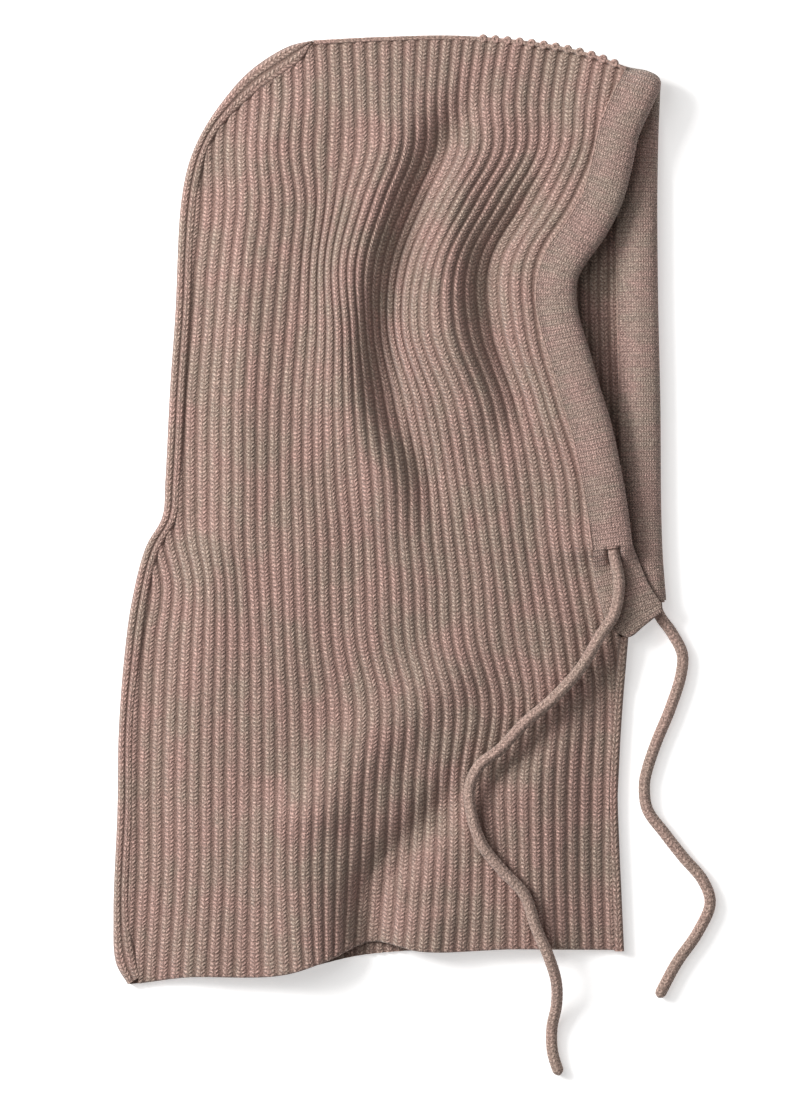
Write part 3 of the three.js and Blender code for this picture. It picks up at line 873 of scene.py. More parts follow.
@dataclass
class NearRelief:
    """The heights of the upper layer of knitting: its level over the cavity, and its soft folds."""

    lay: Lay
    casing: CasingRoute
    right_route: Array
    travel: float = 0.05
    pull: tuple = (0.1516, -0.9884)
    clear_from: float = 0.004
    clear_over: float = 0.012
    casing_tuck: float = 0.0022
    neck_tuck: float = 0.0042
    ripple: float = 0.0009

    VALLEYS = (
        (((0.380, 0.97), (0.185, 0.756), (0.055, 0.588), (-0.015, 0.420), (0.000, 0.231),
          (0.100, 0.104), (0.200, -0.064)), 0.0115, 0.0080),
        (((0.640, 0.714), (0.460, 0.609), (0.365, 0.525), (0.360, 0.420), (0.440, 0.273),
          (0.575, 0.147)), 0.0110, 0.0068),
        (((0.740, -0.345), (0.505, -0.470), (0.254, -0.596), (0.030, -0.722), (-0.070, -0.800),
          (-0.070, -1.0)), 0.0125, 0.0082),
    )
    RIDGES = (
        (((0.110, 0.90), (-0.020, 0.70), (-0.130, 0.520), (-0.165, 0.400), (-0.150, 0.231),
          (-0.050, 0.100), (0.040, -0.100)), 0.0170, 0.0062),
        (((0.330, 0.800), (0.225, 0.660), (0.195, 0.525), (0.190, 0.420), (0.245, 0.290),
          (0.370, 0.120)), 0.0125, 0.0060),
        (((-0.330, -0.560), (-0.330, -0.821), (-0.330, -1.0)), 0.0230, 0.0080),
        (((0.340, -0.270), (0.080, -0.420), (-0.180, -0.560), (-0.330, -0.700)), 0.0180, 0.0058),
        (((0.160, -0.820), (0.130, -1.0)), 0.0160, 0.0030),
    )

    def pull_mask(self, x: Array, y: Array) -> Array:
        """Finds where the right cord lies or is pulled over.

        Args:
            x: places across.
            y: places along.

        Returns:
            0 under the cord, rising to 1 well clear of it.
        """
        gap = np.full(np.shape(x), np.inf)
        for share in np.linspace(0, 1, 6):
            shift = share * self.travel * np.array(self.pull)
            near, _ = distance_to_path(x, y, self.right_route[:, :2] + shift)
            gap = np.minimum(gap, near)
        return smooth_step((gap - self.clear_from) / self.clear_over)

    def folds(self, x: Array, y: Array) -> Array:
        """Adds up the valleys and ridges that the laid cloth falls into.

        Args:
            x: places across.
            y: places along.

        Returns:
            How far the cloth stands above its level, in metres.
        """
        total = np.zeros(np.shape(x))
        for lines, sign in ((self.VALLEYS, -1), (self.RIDGES, 1)):
            for shares, width, depth in lines:
                path = along_points(self.lay.spot(shares), 40)
                gap, share = distance_to_path(x, y, path)
                fade = smooth_step(share / 0.22) * smooth_step((1 - share) / 0.16)
                if shares[-1][1] <= -1:
                    fade = smooth_step(share / 0.22)
                total += sign * depth * fade * np.exp(-((gap / width) ** 2))
        ripple = np.sin(x * 95 + y * 21) * np.sin(y * 47 - x * 30 + 1.3)
        return total + self.ripple * ripple

    def front_line(self, y: Array) -> tuple[Array, Array]:
        """Reads the front edge of the rib at each height, and the level it lies at.

        Args:
            y: places along the lay.

        Returns:
            The edge's place across, and the height of the crests there.
        """
        route = self.casing.stations()[self.casing.brow_station:]
        beside = self.casing.across(route, self.lay.casing_width - self.casing_tuck)
        neck = self.lay.spot(self.lay.FRONT_NECK) - np.array([self.neck_tuck, 0.0])
        chin = np.array([[0.1142, -0.0580], [0.1084, -0.0346], [0.1068, -0.0285]])
        crown = np.array([[beside[0, 0] + 0.0035, self.lay.half_length]])
        line = np.concatenate([neck, chin, beside[::-1, :2], crown])
        level = np.concatenate([
            np.full(len(neck) - 1, self.lay.edge_level + 0.0014), [0.0085, 0.0116, 0.0126, 0.0130],
            beside[::-1, 2] + 0.0017, [beside[0, 2]],
        ])
        order = np.argsort(line[:, 1])
        return ease(line[order, 1], line[order, 0], y), np.interp(y, line[order, 1], level[order])

    def top(self, x: Array, y: Array, v: Array) -> Array:
        """Finds the height of the wales' crests.

        Args:
            x: places across.
            y: places along.
            v: share of the way from the hem to the crown.

        Returns:
            The heights, in metres.
        """
        back = self.lay.across_at(self.lay.BACK, y)
        front, front_level = self.front_line(y)
        u = (x - back) / (front - back)
        rise = smooth_step((u - 0.03) / 0.17)
        edge = self.lay.edge_level + 0.0016
        body = edge + (self.lay.plateau_top - edge) * rise
        ahead = smooth_step((u - 0.84) / 0.15)
        body = body + (np.maximum(front_level, edge) - body) * ahead
        crown = smooth_step((v - 0.9) / 0.095)
        crown_edge = edge + 0.004 * np.clip(u, 0, 1) ** 2 + 0.0075 * smooth_step((u - 0.78) / 0.22)
        calm = rise * (1 - ahead) * (1 - 0.75 * crown)
        relief = self.folds(x, y)
        mask = self.pull_mask(x, y)
        relief = np.where(relief > 0, relief * mask, relief * (0.55 + 0.45 * mask))
        height = body + (crown_edge - body) * crown + relief * calm
        return np.maximum(height, self.lay.rib_fabric + 0.0034)


# ---------------------------------------------------------------- sub-assemblies


@dataclass
class RibGrid:
    """Where each wale of the ribbed knitting runs, in shares of the lay, hem to crown."""

    WALES = (0, 5, 10, 14, 19, 24, 29, 34, 39)
    ROWS = (
        (-0.999, -0.973, -0.754, -0.514, -0.309, -0.141, 0.082, 0.318, 0.555, 0.774),
        (-0.737, -0.955, -0.729, -0.506, -0.327, -0.112, 0.114, 0.333, 0.544, 0.763),
        (-0.568, -0.955, -0.729, -0.503, -0.320, -0.098, 0.128, 0.326, 0.544, 0.767),
        (-0.400, -0.947, -0.722, -0.503, -0.323, -0.083, 0.139, 0.358, 0.562, 0.774),
        (-0.274, -0.933, -0.714, -0.503, -0.338, -0.123, 0.093, 0.308, 0.534, 0.756),
        (-0.148, -0.904, -0.707, -0.514, -0.345, -0.133, 0.082, 0.290, 0.501, 0.717),
        (-0.064, -0.944, -0.736, -0.524, -0.349, -0.137, 0.067, 0.272, 0.480, 0.691),
        (0.062, -0.958, -0.743, -0.524, -0.356, -0.155, 0.060, 0.240, 0.455, 0.670),
        (0.231, -0.955, -0.739, -0.524, -0.352, -0.169, 0.010, 0.186, 0.401, 0.587),
        (0.378, -0.933, -0.718, -0.510, -0.334, -0.173, -0.040, 0.103, 0.318, 0.523),
        (0.525, -0.915, -0.700, -0.488, -0.320, -0.184, -0.029, 0.128, 0.315, 0.523),
        (0.651, -0.894, -0.679, -0.467, -0.302, -0.133, 0.046, 0.229, 0.430, 0.648),
        (0.756, -0.879, -0.679, -0.478, -0.320, -0.083, 0.118, 0.322, 0.526, 0.720),
        (0.861, -0.872, -0.671, -0.467, -0.309, -0.083, 0.125, 0.318, 0.534, 0.745),
        (0.998, -0.872, -0.671, -0.471, -0.316, -0.090, 0.139, 0.347, 0.569, 0.792),
    )

    def across(self, wale: Array, along: Array) -> Array:
        """Reads wales' places across.

        Args:
            wale: wale numbers, a flat array.
            along: the share along the lay for each of them.

        Returns:
            Each one's share across, straight past the first and last wale.
        """
        table = np.array(self.ROWS)
        rows = ease(table[:, 0], table[:, 1:], along)
        knots = np.array(self.WALES, float)
        index = np.clip(np.searchsorted(knots, wale, side="right") - 1, 0, len(knots) - 2)
        slopes = np.diff(rows, axis=1) / np.diff(knots)
        tangents = np.empty_like(rows)
        tangents[:, 0], tangents[:, -1] = slopes[:, 0], slopes[:, -1]
        tangents[:, 1:-1] = (slopes[:, :-1] + slopes[:, 1:]) / 2
        pick = np.arange(len(wale))
        width = knots[index + 1] - knots[index]
        place = bend(
            np.clip((wale - knots[index]) / width, 0, 1),
            (rows[pick, index], rows[pick, index + 1]),
            (tangents[pick, index] * width, tangents[pick, index + 1] * width),
        )
        over = np.maximum(wale - knots[-1], 0) * slopes[:, -1]
        under = np.minimum(wale - knots[0], 0) * slopes[:, 0]
        return place + over + under

    def places(self, lay: Lay, wales: Array, shares: Array, reach: tuple) -> tuple[Array, Array]:
        """Finds the place of each wale in each row.

        Args:
            lay: the garment's outline.
            wales: the wale numbers of the columns.
            shares: each row's share of the way up.
            reach: how far above the hem the rows start, and how far above it they end, in
                metres; an end of 0 is the crown.

        Returns:
            Places across and along, rows by columns, in metres.
        """
        g, v = (item.ravel() for item in np.meshgrid(wales, shares))
        y = (v * 2 - 1) * lay.half_length
        for _ in range(6):
            x = self.across(g, y / lay.half_length) * lay.half_width
            hem = lay.along_at(lay.NEAR_HEM, x)
            high = hem + reach[1] if reach[1] else lay.along_at(lay.CROWN, x) - 0.0010
            y = hem + reach[0] + (high - hem - reach[0]) * v
        shape = (len(shares), len(wales))
        return x.reshape(shape), y.reshape(shape)


def trim_rows(x: Array, y: Array, g: Array, left: Array, right: Array) -> tuple[Array, Array, Array]:
    """Draws the ends of each row in to its side edges.

    Args:
        x: places across, rows by columns.
        y: places along, rows by columns.
        g: wale numbers, rows by columns.
        left: the left edge's place across, beside each point.
        right: the right edge's place across, beside each point.

    Returns:
        The trimmed places across and along, and wale numbers.
    """
    x, y, g = x.copy(), y.copy(), g.copy()
    for j in range(x.shape[0]):
        inside = np.flatnonzero((x[j] > left[j]) & (x[j] < right[j]))
        first, last = inside[0], inside[-1]
        for edge, near, far, span in (
            (left[j], first, first - 1, slice(0, first)),
            (right[j], last, last + 1, slice(last + 1, x.shape[1])),
        ):
            if far < 0 or far >= x.shape[1]:
                continue
            a, b = x[j, near] - edge[near], x[j, far] - edge[far]
            t = np.clip(a / (a - b), 0, 1)
            for item in (x, y, g):
                item[j, span] = item[j, near] + (item[j, far] - item[j, near]) * t
    return x, y, g


def sheet_layer(name: str, x: Array, y: Array, heights: tuple[Array, Array], knit: tuple) -> Piece:
    """Makes a trimmed sheet, with the points that the trimming drew together merged.

    Args:
        name: the piece's name.
        x: places across.
        y: places along.
        heights: the heights of the upper and under face.
        knit: the wale and course numbers.

    Returns:
        The closed piece.
    """
    outer, under = (np.stack([x, y, height], 2) for height in heights)
    piece = closed_layer(name, outer, under, np.stack(knit, 2))
    take(piece)
    bpy.ops.object.mode_set(mode="EDIT")
    bpy.ops.mesh.select_all(action="SELECT")
    bpy.ops.mesh.remove_doubles(threshold=MERGE_GAP)
    bpy.ops.mesh.dissolve_degenerate(threshold=MERGE_GAP)
    bpy.ops.object.mode_set(mode="OBJECT")
    clear_selection()
    return piece


@dataclass
class SidePanels:
    """The two ribbed panels, each knitted in one piece from the hem to the crown."""

    lay: Lay
    relief: NearRelief
    ribs: RibGrid
    course: float = 0.0021
    wale_rise: float = 0.0014
    far_rise: float = 0.0013
    cloth: float = 0.0011
    near_steps: int = 6
    near_rows: int = 168
    far_steps: int = 4
    far_rows: int = 84
    last_wale: int = 42
    far_wales: int = 54
    far_pitch: float = 0.0052
    hem_width: float = 0.0050
    hem_roll: float = 0.0017
    strip_tuck: float = 0.0014
    casing_tuck: float = 0.0006
    flat: tuple = (0.2855, 0.4960)
    cut_share: float = 0.84
    crest_power: float = 1.15

    def wale_height(self, g: Array, rise: float) -> Array:
        """Gives a wale's section, a round crest between narrow valleys."""
        return rise * (np.abs(np.sin(math.pi * g)) ** self.crest_power - 1)

    def course_number(self, x: Array, y: Array) -> Array:
        """Counts the courses up each column from the hem."""
        steps = np.hypot(np.diff(x, axis=0), np.diff(y, axis=0))
        return np.concatenate([np.zeros((1, x.shape[1])), np.cumsum(steps, axis=0)]) / self.course

    def near_places(self, shares: Array, reach: tuple) -> tuple[Array, Array, Array, Array]:
        """Sets out rows of the upper panel, trimmed to its strip and its casing.

        Args:
            shares: each row's share of the way up.
            reach: where the rows start and end above the hem, as RibGrid.places takes it.

        Returns:
            Places across and along, wale numbers, and course numbers from the first row.
        """
        wales = np.arange(-self.near_steps, self.near_steps * self.last_wale + 1) / self.near_steps
        x, y = self.ribs.places(self.lay, wales, shares, reach)
        g = np.broadcast_to(wales, x.shape)
        course = self.course_number(x, y)
        left = self.lay.across_at(self.lay.STRIP_INNER, y) - self.strip_tuck
        right = self.relief.front_line(y)[0]
        return (*trim_rows(x, y, g, left, right), course)

    def build_near(self) -> Piece:
        """Makes the right panel, uppermost as the garment lies.

        Returns:
            The panel.
        """
        shares = np.linspace(0, 1, self.near_rows + 1)
        x, y, g, course = self.near_places(shares, (self.hem_width, 0.0))
        top = self.relief.top(x, y, np.broadcast_to(shares[:, None], x.shape))
        height = top + self.wale_height(g, self.wale_rise)
        low = np.maximum(top - self.wale_rise - self.cloth, self.lay.base())
        return sheet_layer("right_side_knit", x, y, (height, low), (g, course))

    def build_near_hem(self) -> Piece:
        """Makes the turned hem of the right panel, where its wales roll under.

        Returns:
            The hem.
        """
        shares = np.linspace(0, 1, 9)
        x, y, g, _ = self.near_places(shares, (0.0, self.hem_width))
        top = self.relief.top(x, y, np.zeros(x.shape))
        gone = np.clip(1 - shares / 0.55, 0, 1)[:, None]
        roll = self.hem_roll * (1 - np.sqrt(1 - gone**2))
        height = top + self.wale_height(g, self.wale_rise) * (1 - 0.6 * gone) - roll
        low = np.maximum(top - self.wale_rise - self.cloth - self.lay.gap, self.lay.base())
        course = np.broadcast_to(((shares - 1) * self.hem_width / self.course)[:, None], x.shape)
        return sheet_layer("right_hem_knit", x, y, (height, low), (g, course))

    def far_sheet(self, name: str, low: Array, high: Array, shares: Array) -> Piece:
        """Makes a stretch of the left panel, flat on the surface under the other.

        Args:
            name: the piece's name.
            low: the line that its first row follows, points across and along.
            high: the line that its last row follows.
            shares: each row's share of the way between them.

        Returns:
            The closed piece.
        """
        wales = np.arange(-8, self.far_steps * self.far_wales + 1) / self.far_steps
        g, v = np.meshgrid(wales, shares)
        y = (v * 2 - 1) * self.lay.half_length
        for _ in range(5):
            x = self.far_front(y) - (self.far_wales - 1 - g) * self.far_pitch
            bottom, top = ease(low[:, 0], low[:, 1], x), ease(high[:, 0], high[:, 1], x)
            y = bottom + (top - bottom) * v
        course = y / self.course
        left = self.lay.across_at(self.lay.BACK, y) + 0.0006
        x, y, g = trim_rows(x, y, g, left, self.far_front(y))
        height = self.lay.rib_fabric + 0.0002 + self.wale_height(g, self.far_rise)
        return sheet_layer(name, x, y, (height, np.full(x.shape, 0.0001)), (g, course))

    def build_far(self) -> tuple[Piece, Piece]:
        """Makes the left panel and its hem.

        Returns:
            The panel and the hem.
        """
        hem = self.lay.spot(self.lay.FAR_HEM)
        crown = self.lay.spot(self.lay.CROWN) - np.array([0, 0.0008])
        above = hem + np.array([0, self.hem_width])
        panel = self.far_sheet("left_side_knit", above, crown, np.linspace(0, 1, self.far_rows + 1))
        band = self.far_sheet("left_hem_knit", hem, above, np.linspace(0, 1, 5))
        return panel, band

    def far_front(self, y: Array) -> Array:
        """Reads the front edge of the left panel at each height.

        Args:
            y: places along the lay.

        Returns:
            The edge's place across.
        """
        route = self.relief.casing.stations()[: self.relief.casing.crown_station - 2]
        beside = self.relief.casing.across(route, self.lay.casing_width - self.casing_tuck)
        neck = self.lay.spot(self.lay.FRONT_NECK)
        line = np.concatenate([neck, beside[:, :2], [[0.118, 0.236]]])
        order = np.argsort(line[:, 1])
        return np.interp(y, line[order, 1], line[order, 0])

    def build(self, wardrobe: Wardrobe) -> None:
        """Args:
            wardrobe: the finishes.
        """
        near, near_hem = self.build_near(), self.build_near_hem()
        far, far_hem = self.build_far()
        wardrobe.dress(near, Knit.RIB, "right_side_panel")
        wardrobe.dress(near_hem, Knit.RIB, "right_hem_edge")
        wardrobe.dress(far, Knit.RIB, "left_side_panel")
        wardrobe.dress(far_hem, Knit.RIB, "left_hem_edge")


@dataclass
class EdgeBands:
    """The narrow bands round the panels: back strip, crown seam and front neck seam."""

    lay: Lay
    relief: NearRelief
    strip_rows: int = 300
    strip_wales: float = 2.0
    columns: int = 18
    loop_pitch: float = 0.0061
    loops_from: float = 0.33

    def band(
        self, name: str, outer_line: Array, inner_line: Array, high: Array,
        wales: float, course: float, ridge: float,
    ) -> Piece:
        """Makes a rounded band between two lines, on the lower layer.

        Args:
            name: the piece's name.
            outer_line: points along the free edge.
            inner_line: the matching points along the sewn edge.
            high: the height of its crest at each point.
            wales: how many wales lie side by side in it.
            course: the length of a course, in metres.
            ridge: how far each wale stands above the valley beside it.

        Returns:
            The band.
        """
        a = np.linspace(0, 1, self.columns + 1)
        plan = between(outer_line, inner_line, a)
        low = np.full((len(outer_line), 1), self.lay.base())
        bow = np.sqrt(np.clip(1 - (2 * a - 1) ** 4, 0, 1))
        bow = np.where(a > 0.5, 0.6 + 0.4 * bow, bow)
        crest = low + (high[:, None] - low) * (0.35 + 0.65 * bow)[None, :]
        ribs = ridge * (np.abs(np.sin(math.pi * a * wales)) ** 0.7 - 1)
        crest = crest + ribs[None, :] * (bow > 0)[None, :]
        crest = np.maximum(crest, low + 0.0004)
        courses = (travel(outer_line) / course)[:, None]
        knit = np.stack(np.broadcast_arrays(a[None, :] * wales, courses), 2)
        top, floor = lifted(plan, crest), lifted(plan, low)
        flipped = np.cross(top[0, -1, :2] - top[0, 0, :2], top[-1, 0, :2] - top[0, 0, :2]) < 0
        if flipped:
            top, floor, knit = top[::-1], floor[::-1], knit[::-1]
        return closed_layer(name, top, floor, knit)

    def build_back_strip(self) -> Piece:
        """Makes the strip of stitches that runs up the back edge and round to the crown.

        Returns:
            The strip.
        """
        outer = along_points(self.lay.spot(self.lay.BACK + ((-0.28, 0.99),)), self.strip_rows + 1)
        inner = along_points(self.lay.spot(self.lay.STRIP_INNER[:-1]), self.strip_rows + 1)
        high = np.full(len(outer), self.lay.rib_fabric + 0.0040)
        inner = self.match(outer, inner)
        return self.band("back_edge_band", outer, inner, high, self.strip_wales, 0.0027, 0.0008)

    def match(self, outer: Array, inner: Array) -> Array:
        """Pairs each point of the free edge with the nearest stretch of the sewn edge.

        Args:
            outer: points along the free edge.
            inner: points along the sewn edge.

        Returns:
            The sewn edge's point beside each point of the free edge, evened out along it.
        """
        fine = along_points(inner, 4000)
        at = np.array([np.argmin(np.sum((fine - point) ** 2, axis=1)) for point in outer], float)
        aside = 7
        padded = np.pad(np.maximum.accumulate(at), aside, constant_values=(at[0], at[-1]))
        window = 2 * aside + 1
        at = np.convolve(padded, np.ones(window) / window, mode="valid")
        low = np.floor(at).astype(int)
        high = np.minimum(low + 1, len(fine) - 1)
        return fine[low] + (fine[high] - fine[low]) * (at - low)[:, None]

    def build_neck_seam(self) -> Piece:
        """Makes the linked seam down the front of the neck.

        Returns:
            The seam.
        """
        outer = along_points(self.lay.spot(self.lay.FRONT_NECK), 121)
        inner = outer - np.array([0.0050, 0.0])
        climb = smooth_step((outer[:, 1] + 0.1) / 0.034)
        high = np.full(len(outer), self.lay.rib_fabric + 0.0036) + 0.0042 * climb
        return self.band("front_neck_band", outer, inner, high, 1.0, 0.0029, 0.0003)

    def climb_to_brow(self, x: Array) -> Array:
        """Gives how far the crown seam rises towards the casing at each place across."""
        return 0.004 * smooth_step((x - 0.04) / 0.08) + 0.0075 * smooth_step((x - 0.068) / 0.052)

    def build_crown_seam(self) -> Piece:
        """Makes the linked crown seam: a soft ridge with a loop of yarn at each wale.

        Returns:
            The seam.
        """
        line = self.lay.spot(self.lay.CROWN[2:8] + ((0.84, 0.931),))
        outer = along_points(line, 161)
        inner = outer - np.array([0.0, 0.0026])
        high = self.lay.base() + 0.0038 + self.climb_to_brow(outer[:, 0])
        seam = self.band("crown_seam_ridge", outer, inner, high, 1.0, 0.003, 0.0002)
        loops = self.linking_loops(along_points(line, 400))
        take(seam)
        for loop in loops:
            loop.select_set(True)
        bpy.ops.object.join()
        clear_selection()
        return seam

    def linking_loops(self, line: Array) -> list:
        """Sets a small loop of yarn across the seam at each wale.

        Args:
            line: points along the seam.

        Returns:
            The loops.
        """
        loops = []
        places = along_points(line, int(travel(line)[-1] / self.loop_pitch))
        for k in range(1, len(places) - 1):
            if places[k][0] < self.loops_from * self.lay.half_width:
                continue
            level = self.lay.rib_fabric + 0.0034 + float(self.climb_to_brow(places[k][0]))
            clear_selection()
            bpy.ops.mesh.primitive_torus_add(
                major_radius=0.0015, minor_radius=0.0011, major_segments=18, minor_segments=8,
                location=(places[k][0], places[k][1] - 0.0011, level),
            )
            loop = bpy.context.object
            bpy.ops.object.mode_set(mode="EDIT")
            bpy.ops.transform.resize(value=(0.86, 0.9, 1.0), center_override=loop.location)
            bpy.ops.object.mode_set(mode="OBJECT")
            bpy.ops.object.transform_apply(location=True, rotation=True, scale=True)
            bpy.ops.object.shade_smooth()
            loop.data.uv_layers[0].name = "knit"
            loops.append(loop)
        return loops

    def build(self, wardrobe: Wardrobe) -> None:
        """Makes and dresses every band.

        Args:
            wardrobe: the finishes.
        """
        wardrobe.dress(self.build_back_strip(), Knit.RIB, "back_edge_strip")
        wardrobe.dress(self.build_neck_seam(), Knit.RIB, "front_neck_seam")
        wardrobe.dress(self.build_crown_seam(), Knit.SEAM, "crown_seam")


@dataclass
class FaceCasing:
    """The tunnel of jersey round the face opening, its seams, its flat end and the chin tab."""

    lay: Lay
    route: CasingRoute
    wale: float = 0.0026
    course: float = 0.0014
    end_rows: int = 46
    facing_from: int = 6
    thread_pitch: float = 0.0031
    section_ring: int = 40
    lean_scale: float = 0.002

    FOLD_EDGE = ((0.892, -0.112), (0.921, -0.152), (0.946, -0.177), (0.969, -0.197))
    SEAM_EDGE = ((0.727, -0.14), (0.768, -0.236))
    TAB_TOP = ((0.775, -0.222), (0.86, -0.205), (0.965, -0.192))
    TAB_LOW = ((0.79, -0.252), (0.822, -0.262), (0.8546, -0.2677), (0.91, -0.243), (0.968, -0.216))

    def faces_at(self, a: Array) -> tuple[Array, Array]:
        """Gives the section of the tunnel, from the seam at -1 to the fold at 1.

        Args:
            a: places across the band.

        Returns:
            How far the outside and inside faces stand from its middle, as shares.
        """
        nose = np.sqrt(np.clip(1 - np.clip((a - 0.45) / 0.55, 0, 1) ** 2, 0, 1))
        swell = smooth_step((a + 1) / 1.2)
        return (0.50 + 0.5 * swell) * nose, (0.25 + 0.75 * swell) * nose

    def tunnel_lines(self) -> tuple[Array, Array, Array]:
        """Lists the tunnel's middle line, its direction across, and the distance along it.

        Returns:
            The middle points, the unit directions from the seam to the fold, and the distance.
        """
        stations = self.route.stations()
        base = np.column_stack([stations[:, :2] * self.lay.scale(), stations[:, 2:]])
        fine = along_points(base * np.array([1, 1, 1, self.lean_scale]), 420)
        angle = np.radians(fine[:, 3] / self.lean_scale)
        across = np.stack([np.cos(angle), -np.sin(angle), 0 * angle], 1)
        middle = fine[:, :3] - across * self.lay.casing_width / 2
        return middle, across, travel(middle)

    def end_lines(self) -> tuple[Array, Array]:
        """Lists the edges of the flat end, from the exit down to the chin.

        Returns:
            Points along the fold edge and along the seam edge.
        """
        last = self.route.stations()[-2:]
        edges = []
        for distance, shares in ((0.0, self.FOLD_EDGE), (self.lay.casing_width, self.SEAM_EDGE)):
            start = self.route.across(last, distance)[:, :2]
            edge = along_points(np.concatenate([start, self.lay.spot(shares)]), 400)
            edge = edge[np.argmin(np.hypot(*(edge - start[1]).T)):]
            edges.append(along_points(edge, self.end_rows + 1))
        return edges[0], edges[1]

    def build_band(self) -> Piece:
        """Makes the whole band: tunnel, lip over the cord's exit, and flat end to the chin.

        Returns:
            The band.
        """
        middle, across, travelled = self.tunnel_lines()
        along = np.gradient(middle, axis=0)
        along /= np.linalg.norm(along, axis=1, keepdims=True)
        inside = np.cross(across, along)
        inside /= np.linalg.norm(inside, axis=1, keepdims=True)
        half_width = self.lay.casing_width / 2
        height = self.lay.casing_half_height - 0.0002
        turn = np.linspace(math.pi, 0, 24)
        outside_a, inside_a = np.cos(turn), np.cos(turn[::-1])
        out_face, in_face = self.faces_at(outside_a)[0], self.faces_at(inside_a)[1]
        a = np.concatenate([outside_a, inside_a[1:]])
        lift = np.concatenate([-out_face, in_face[1:]]) * height
        crease = 0.00010 * np.sin(travelled / 0.0083) * np.sin(travelled / 0.0047 + 1)
        mouth = 1 - 0.2 * smooth_step((travelled - travelled[-1] + 0.03) / 0.03)
        shape = lift[None, :] * (mouth + crease / height)[:, None]
        tunnel = (
            middle[:, None, :]
            + across[:, None, :] * (a * half_width)[None, :, None]
            + inside[:, None, :] * shape[:, :, None]
        )
        fold, seam = self.end_lines()
        gone = np.linspace(0, 1, self.end_rows + 1)[:, None]
        centre, reach = (fold + seam) / 2, (fold - seam) / 2
        plan = centre[:, None, :] + reach[:, None, :] * a[None, :, None]
        level = self.lay.chin_level
        nose = np.sqrt(np.clip(1 - np.clip((np.abs(a) - 0.6) / 0.4, 0, 1) ** 2, 0, 1))[None, :]
        upper = np.arange(len(a)) < len(outside_a)
        flat = np.where(upper[None, :], level + 0.0011 * nose, level - 0.0011 * nose)
        side = smooth_step((np.abs(a) - 0.27) / 0.10)[None, :]
        left = 1 - smooth_step(gone / 0.34)
        share = np.where(upper[None, :], side * left, left)
        level_end = flat + (tunnel[-1:, :, 2] - flat) * share
        end = lifted(plan, level_end)
        rings = np.concatenate([tunnel, end[1:]])
        width = np.concatenate([np.full(len(middle), 2 * half_width), 2 * np.hypot(*reach[1:].T)])
        going = np.concatenate([travelled, travelled[-1] + travel(centre)[1:]])
        around = travel(tunnel[self.section_ring])
        around = np.append(around, around[-1] + 0.004) / (2 * half_width)
        knit = np.stack([
            np.broadcast_to((going / self.wale)[:, None], (len(going), len(around))),
            around[None, :] * width[:, None] / self.course,
        ], 2)
        return tube_mesh("face_casing_knit", rings[:, ::-1], knit[:, ::-1])

    def build_end_facing(self) -> Piece:
        """Makes the facing that backs the casing's flat end under the cord.

        Returns:
            The facing.
        """
        fold, seam = (edge[self.facing_from:] for edge in self.end_lines())
        a = np.linspace(0.06, 0.94, 21)
        plan = between(seam, fold, a)
        top = self.lay.chin_level - 0.0012
        courses = np.arange(len(fold))[:, None] * 0.5
        knit = np.stack(np.broadcast_arrays(a[None, :] * 10, courses), 2)
        outer, under = lifted(plan, top), lifted(plan, top - 0.0009)
        return closed_layer("right_casing_facing", outer[::-1], under[::-1], knit[::-1])

    def build_chin_tab(self) -> Piece:
        """Makes the tab that joins the casing's ends in front of the chin.

        Returns:
            The tab.
        """
        rows, columns = 16, 40
        top_line = along_points(self.lay.spot(self.TAB_TOP), columns + 1)
        low_line = along_points(self.lay.spot(self.TAB_LOW), columns + 1)
        b = np.linspace(0, 1, rows + 1)
        plan = between(low_line, top_line, b).transpose(1, 0, 2)
        bow = np.clip(1 - np.clip(1 - b / 0.18, 0, 1) ** 2, 0, 1)[:, None] ** 0.5
        level = self.lay.chin_level
        along = (plan[:, :, 0] * 0.86 + plan[:, :, 1] * 0.5) / 0.0014
        over = (plan[:, :, 1] * 0.86 - plan[:, :, 0] * 0.5) / 0.0022
        outer, under = lifted(plan, level - 0.0003 + 0.0011 * bow), lifted(plan, level - 0.0012)
        return closed_layer("chin_tab_knit", outer, under, np.stack([over, along], 2))

    def build_seam(self, name: str, near: bool) -> Piece:
        """Makes the stitched seam beside the casing.

        Args:
            name: the piece's name.
            near: whether it joins the upper panel.

        Returns:
            The seam, a thick thread with a twist of stitches.
        """
        route = self.route.stations()
        route = route[self.route.brow_station:] if near else route[: self.route.crown_station - 2]
        path = self.route.across(route, self.lay.casing_width + 0.0002)
        path[:, 2] = path[:, 2] + 0.0019 if near else 0.0050
        path = along_points(path, 260)
        courses = travel(path) / self.thread_pitch
        beads = 0.00062 + 0.00016 * np.abs(np.sin(math.pi * courses))
        return knitted_tube(name, path, (0, 0, 1), beads[:, None], 12, 3, courses)

    def build(self, wardrobe: Wardrobe) -> None:
        """Makes and dresses the casing, its seams and the chin tab.

        Args:
            wardrobe: the finishes.
        """
        wardrobe.dress(self.build_band(), Knit.JERSEY, "face_casing")
        wardrobe.dress(self.build_end_facing(), Knit.JERSEY, "right_casing_end")
        wardrobe.dress(self.build_chin_tab(), Knit.JERSEY, "chin_band")
        for side in ("right", "left"):
            seam = self.build_seam(side + "_casing_stitching", side == "right")
            wardrobe.dress(seam, Knit.SEAM, side + "_casing_seam")


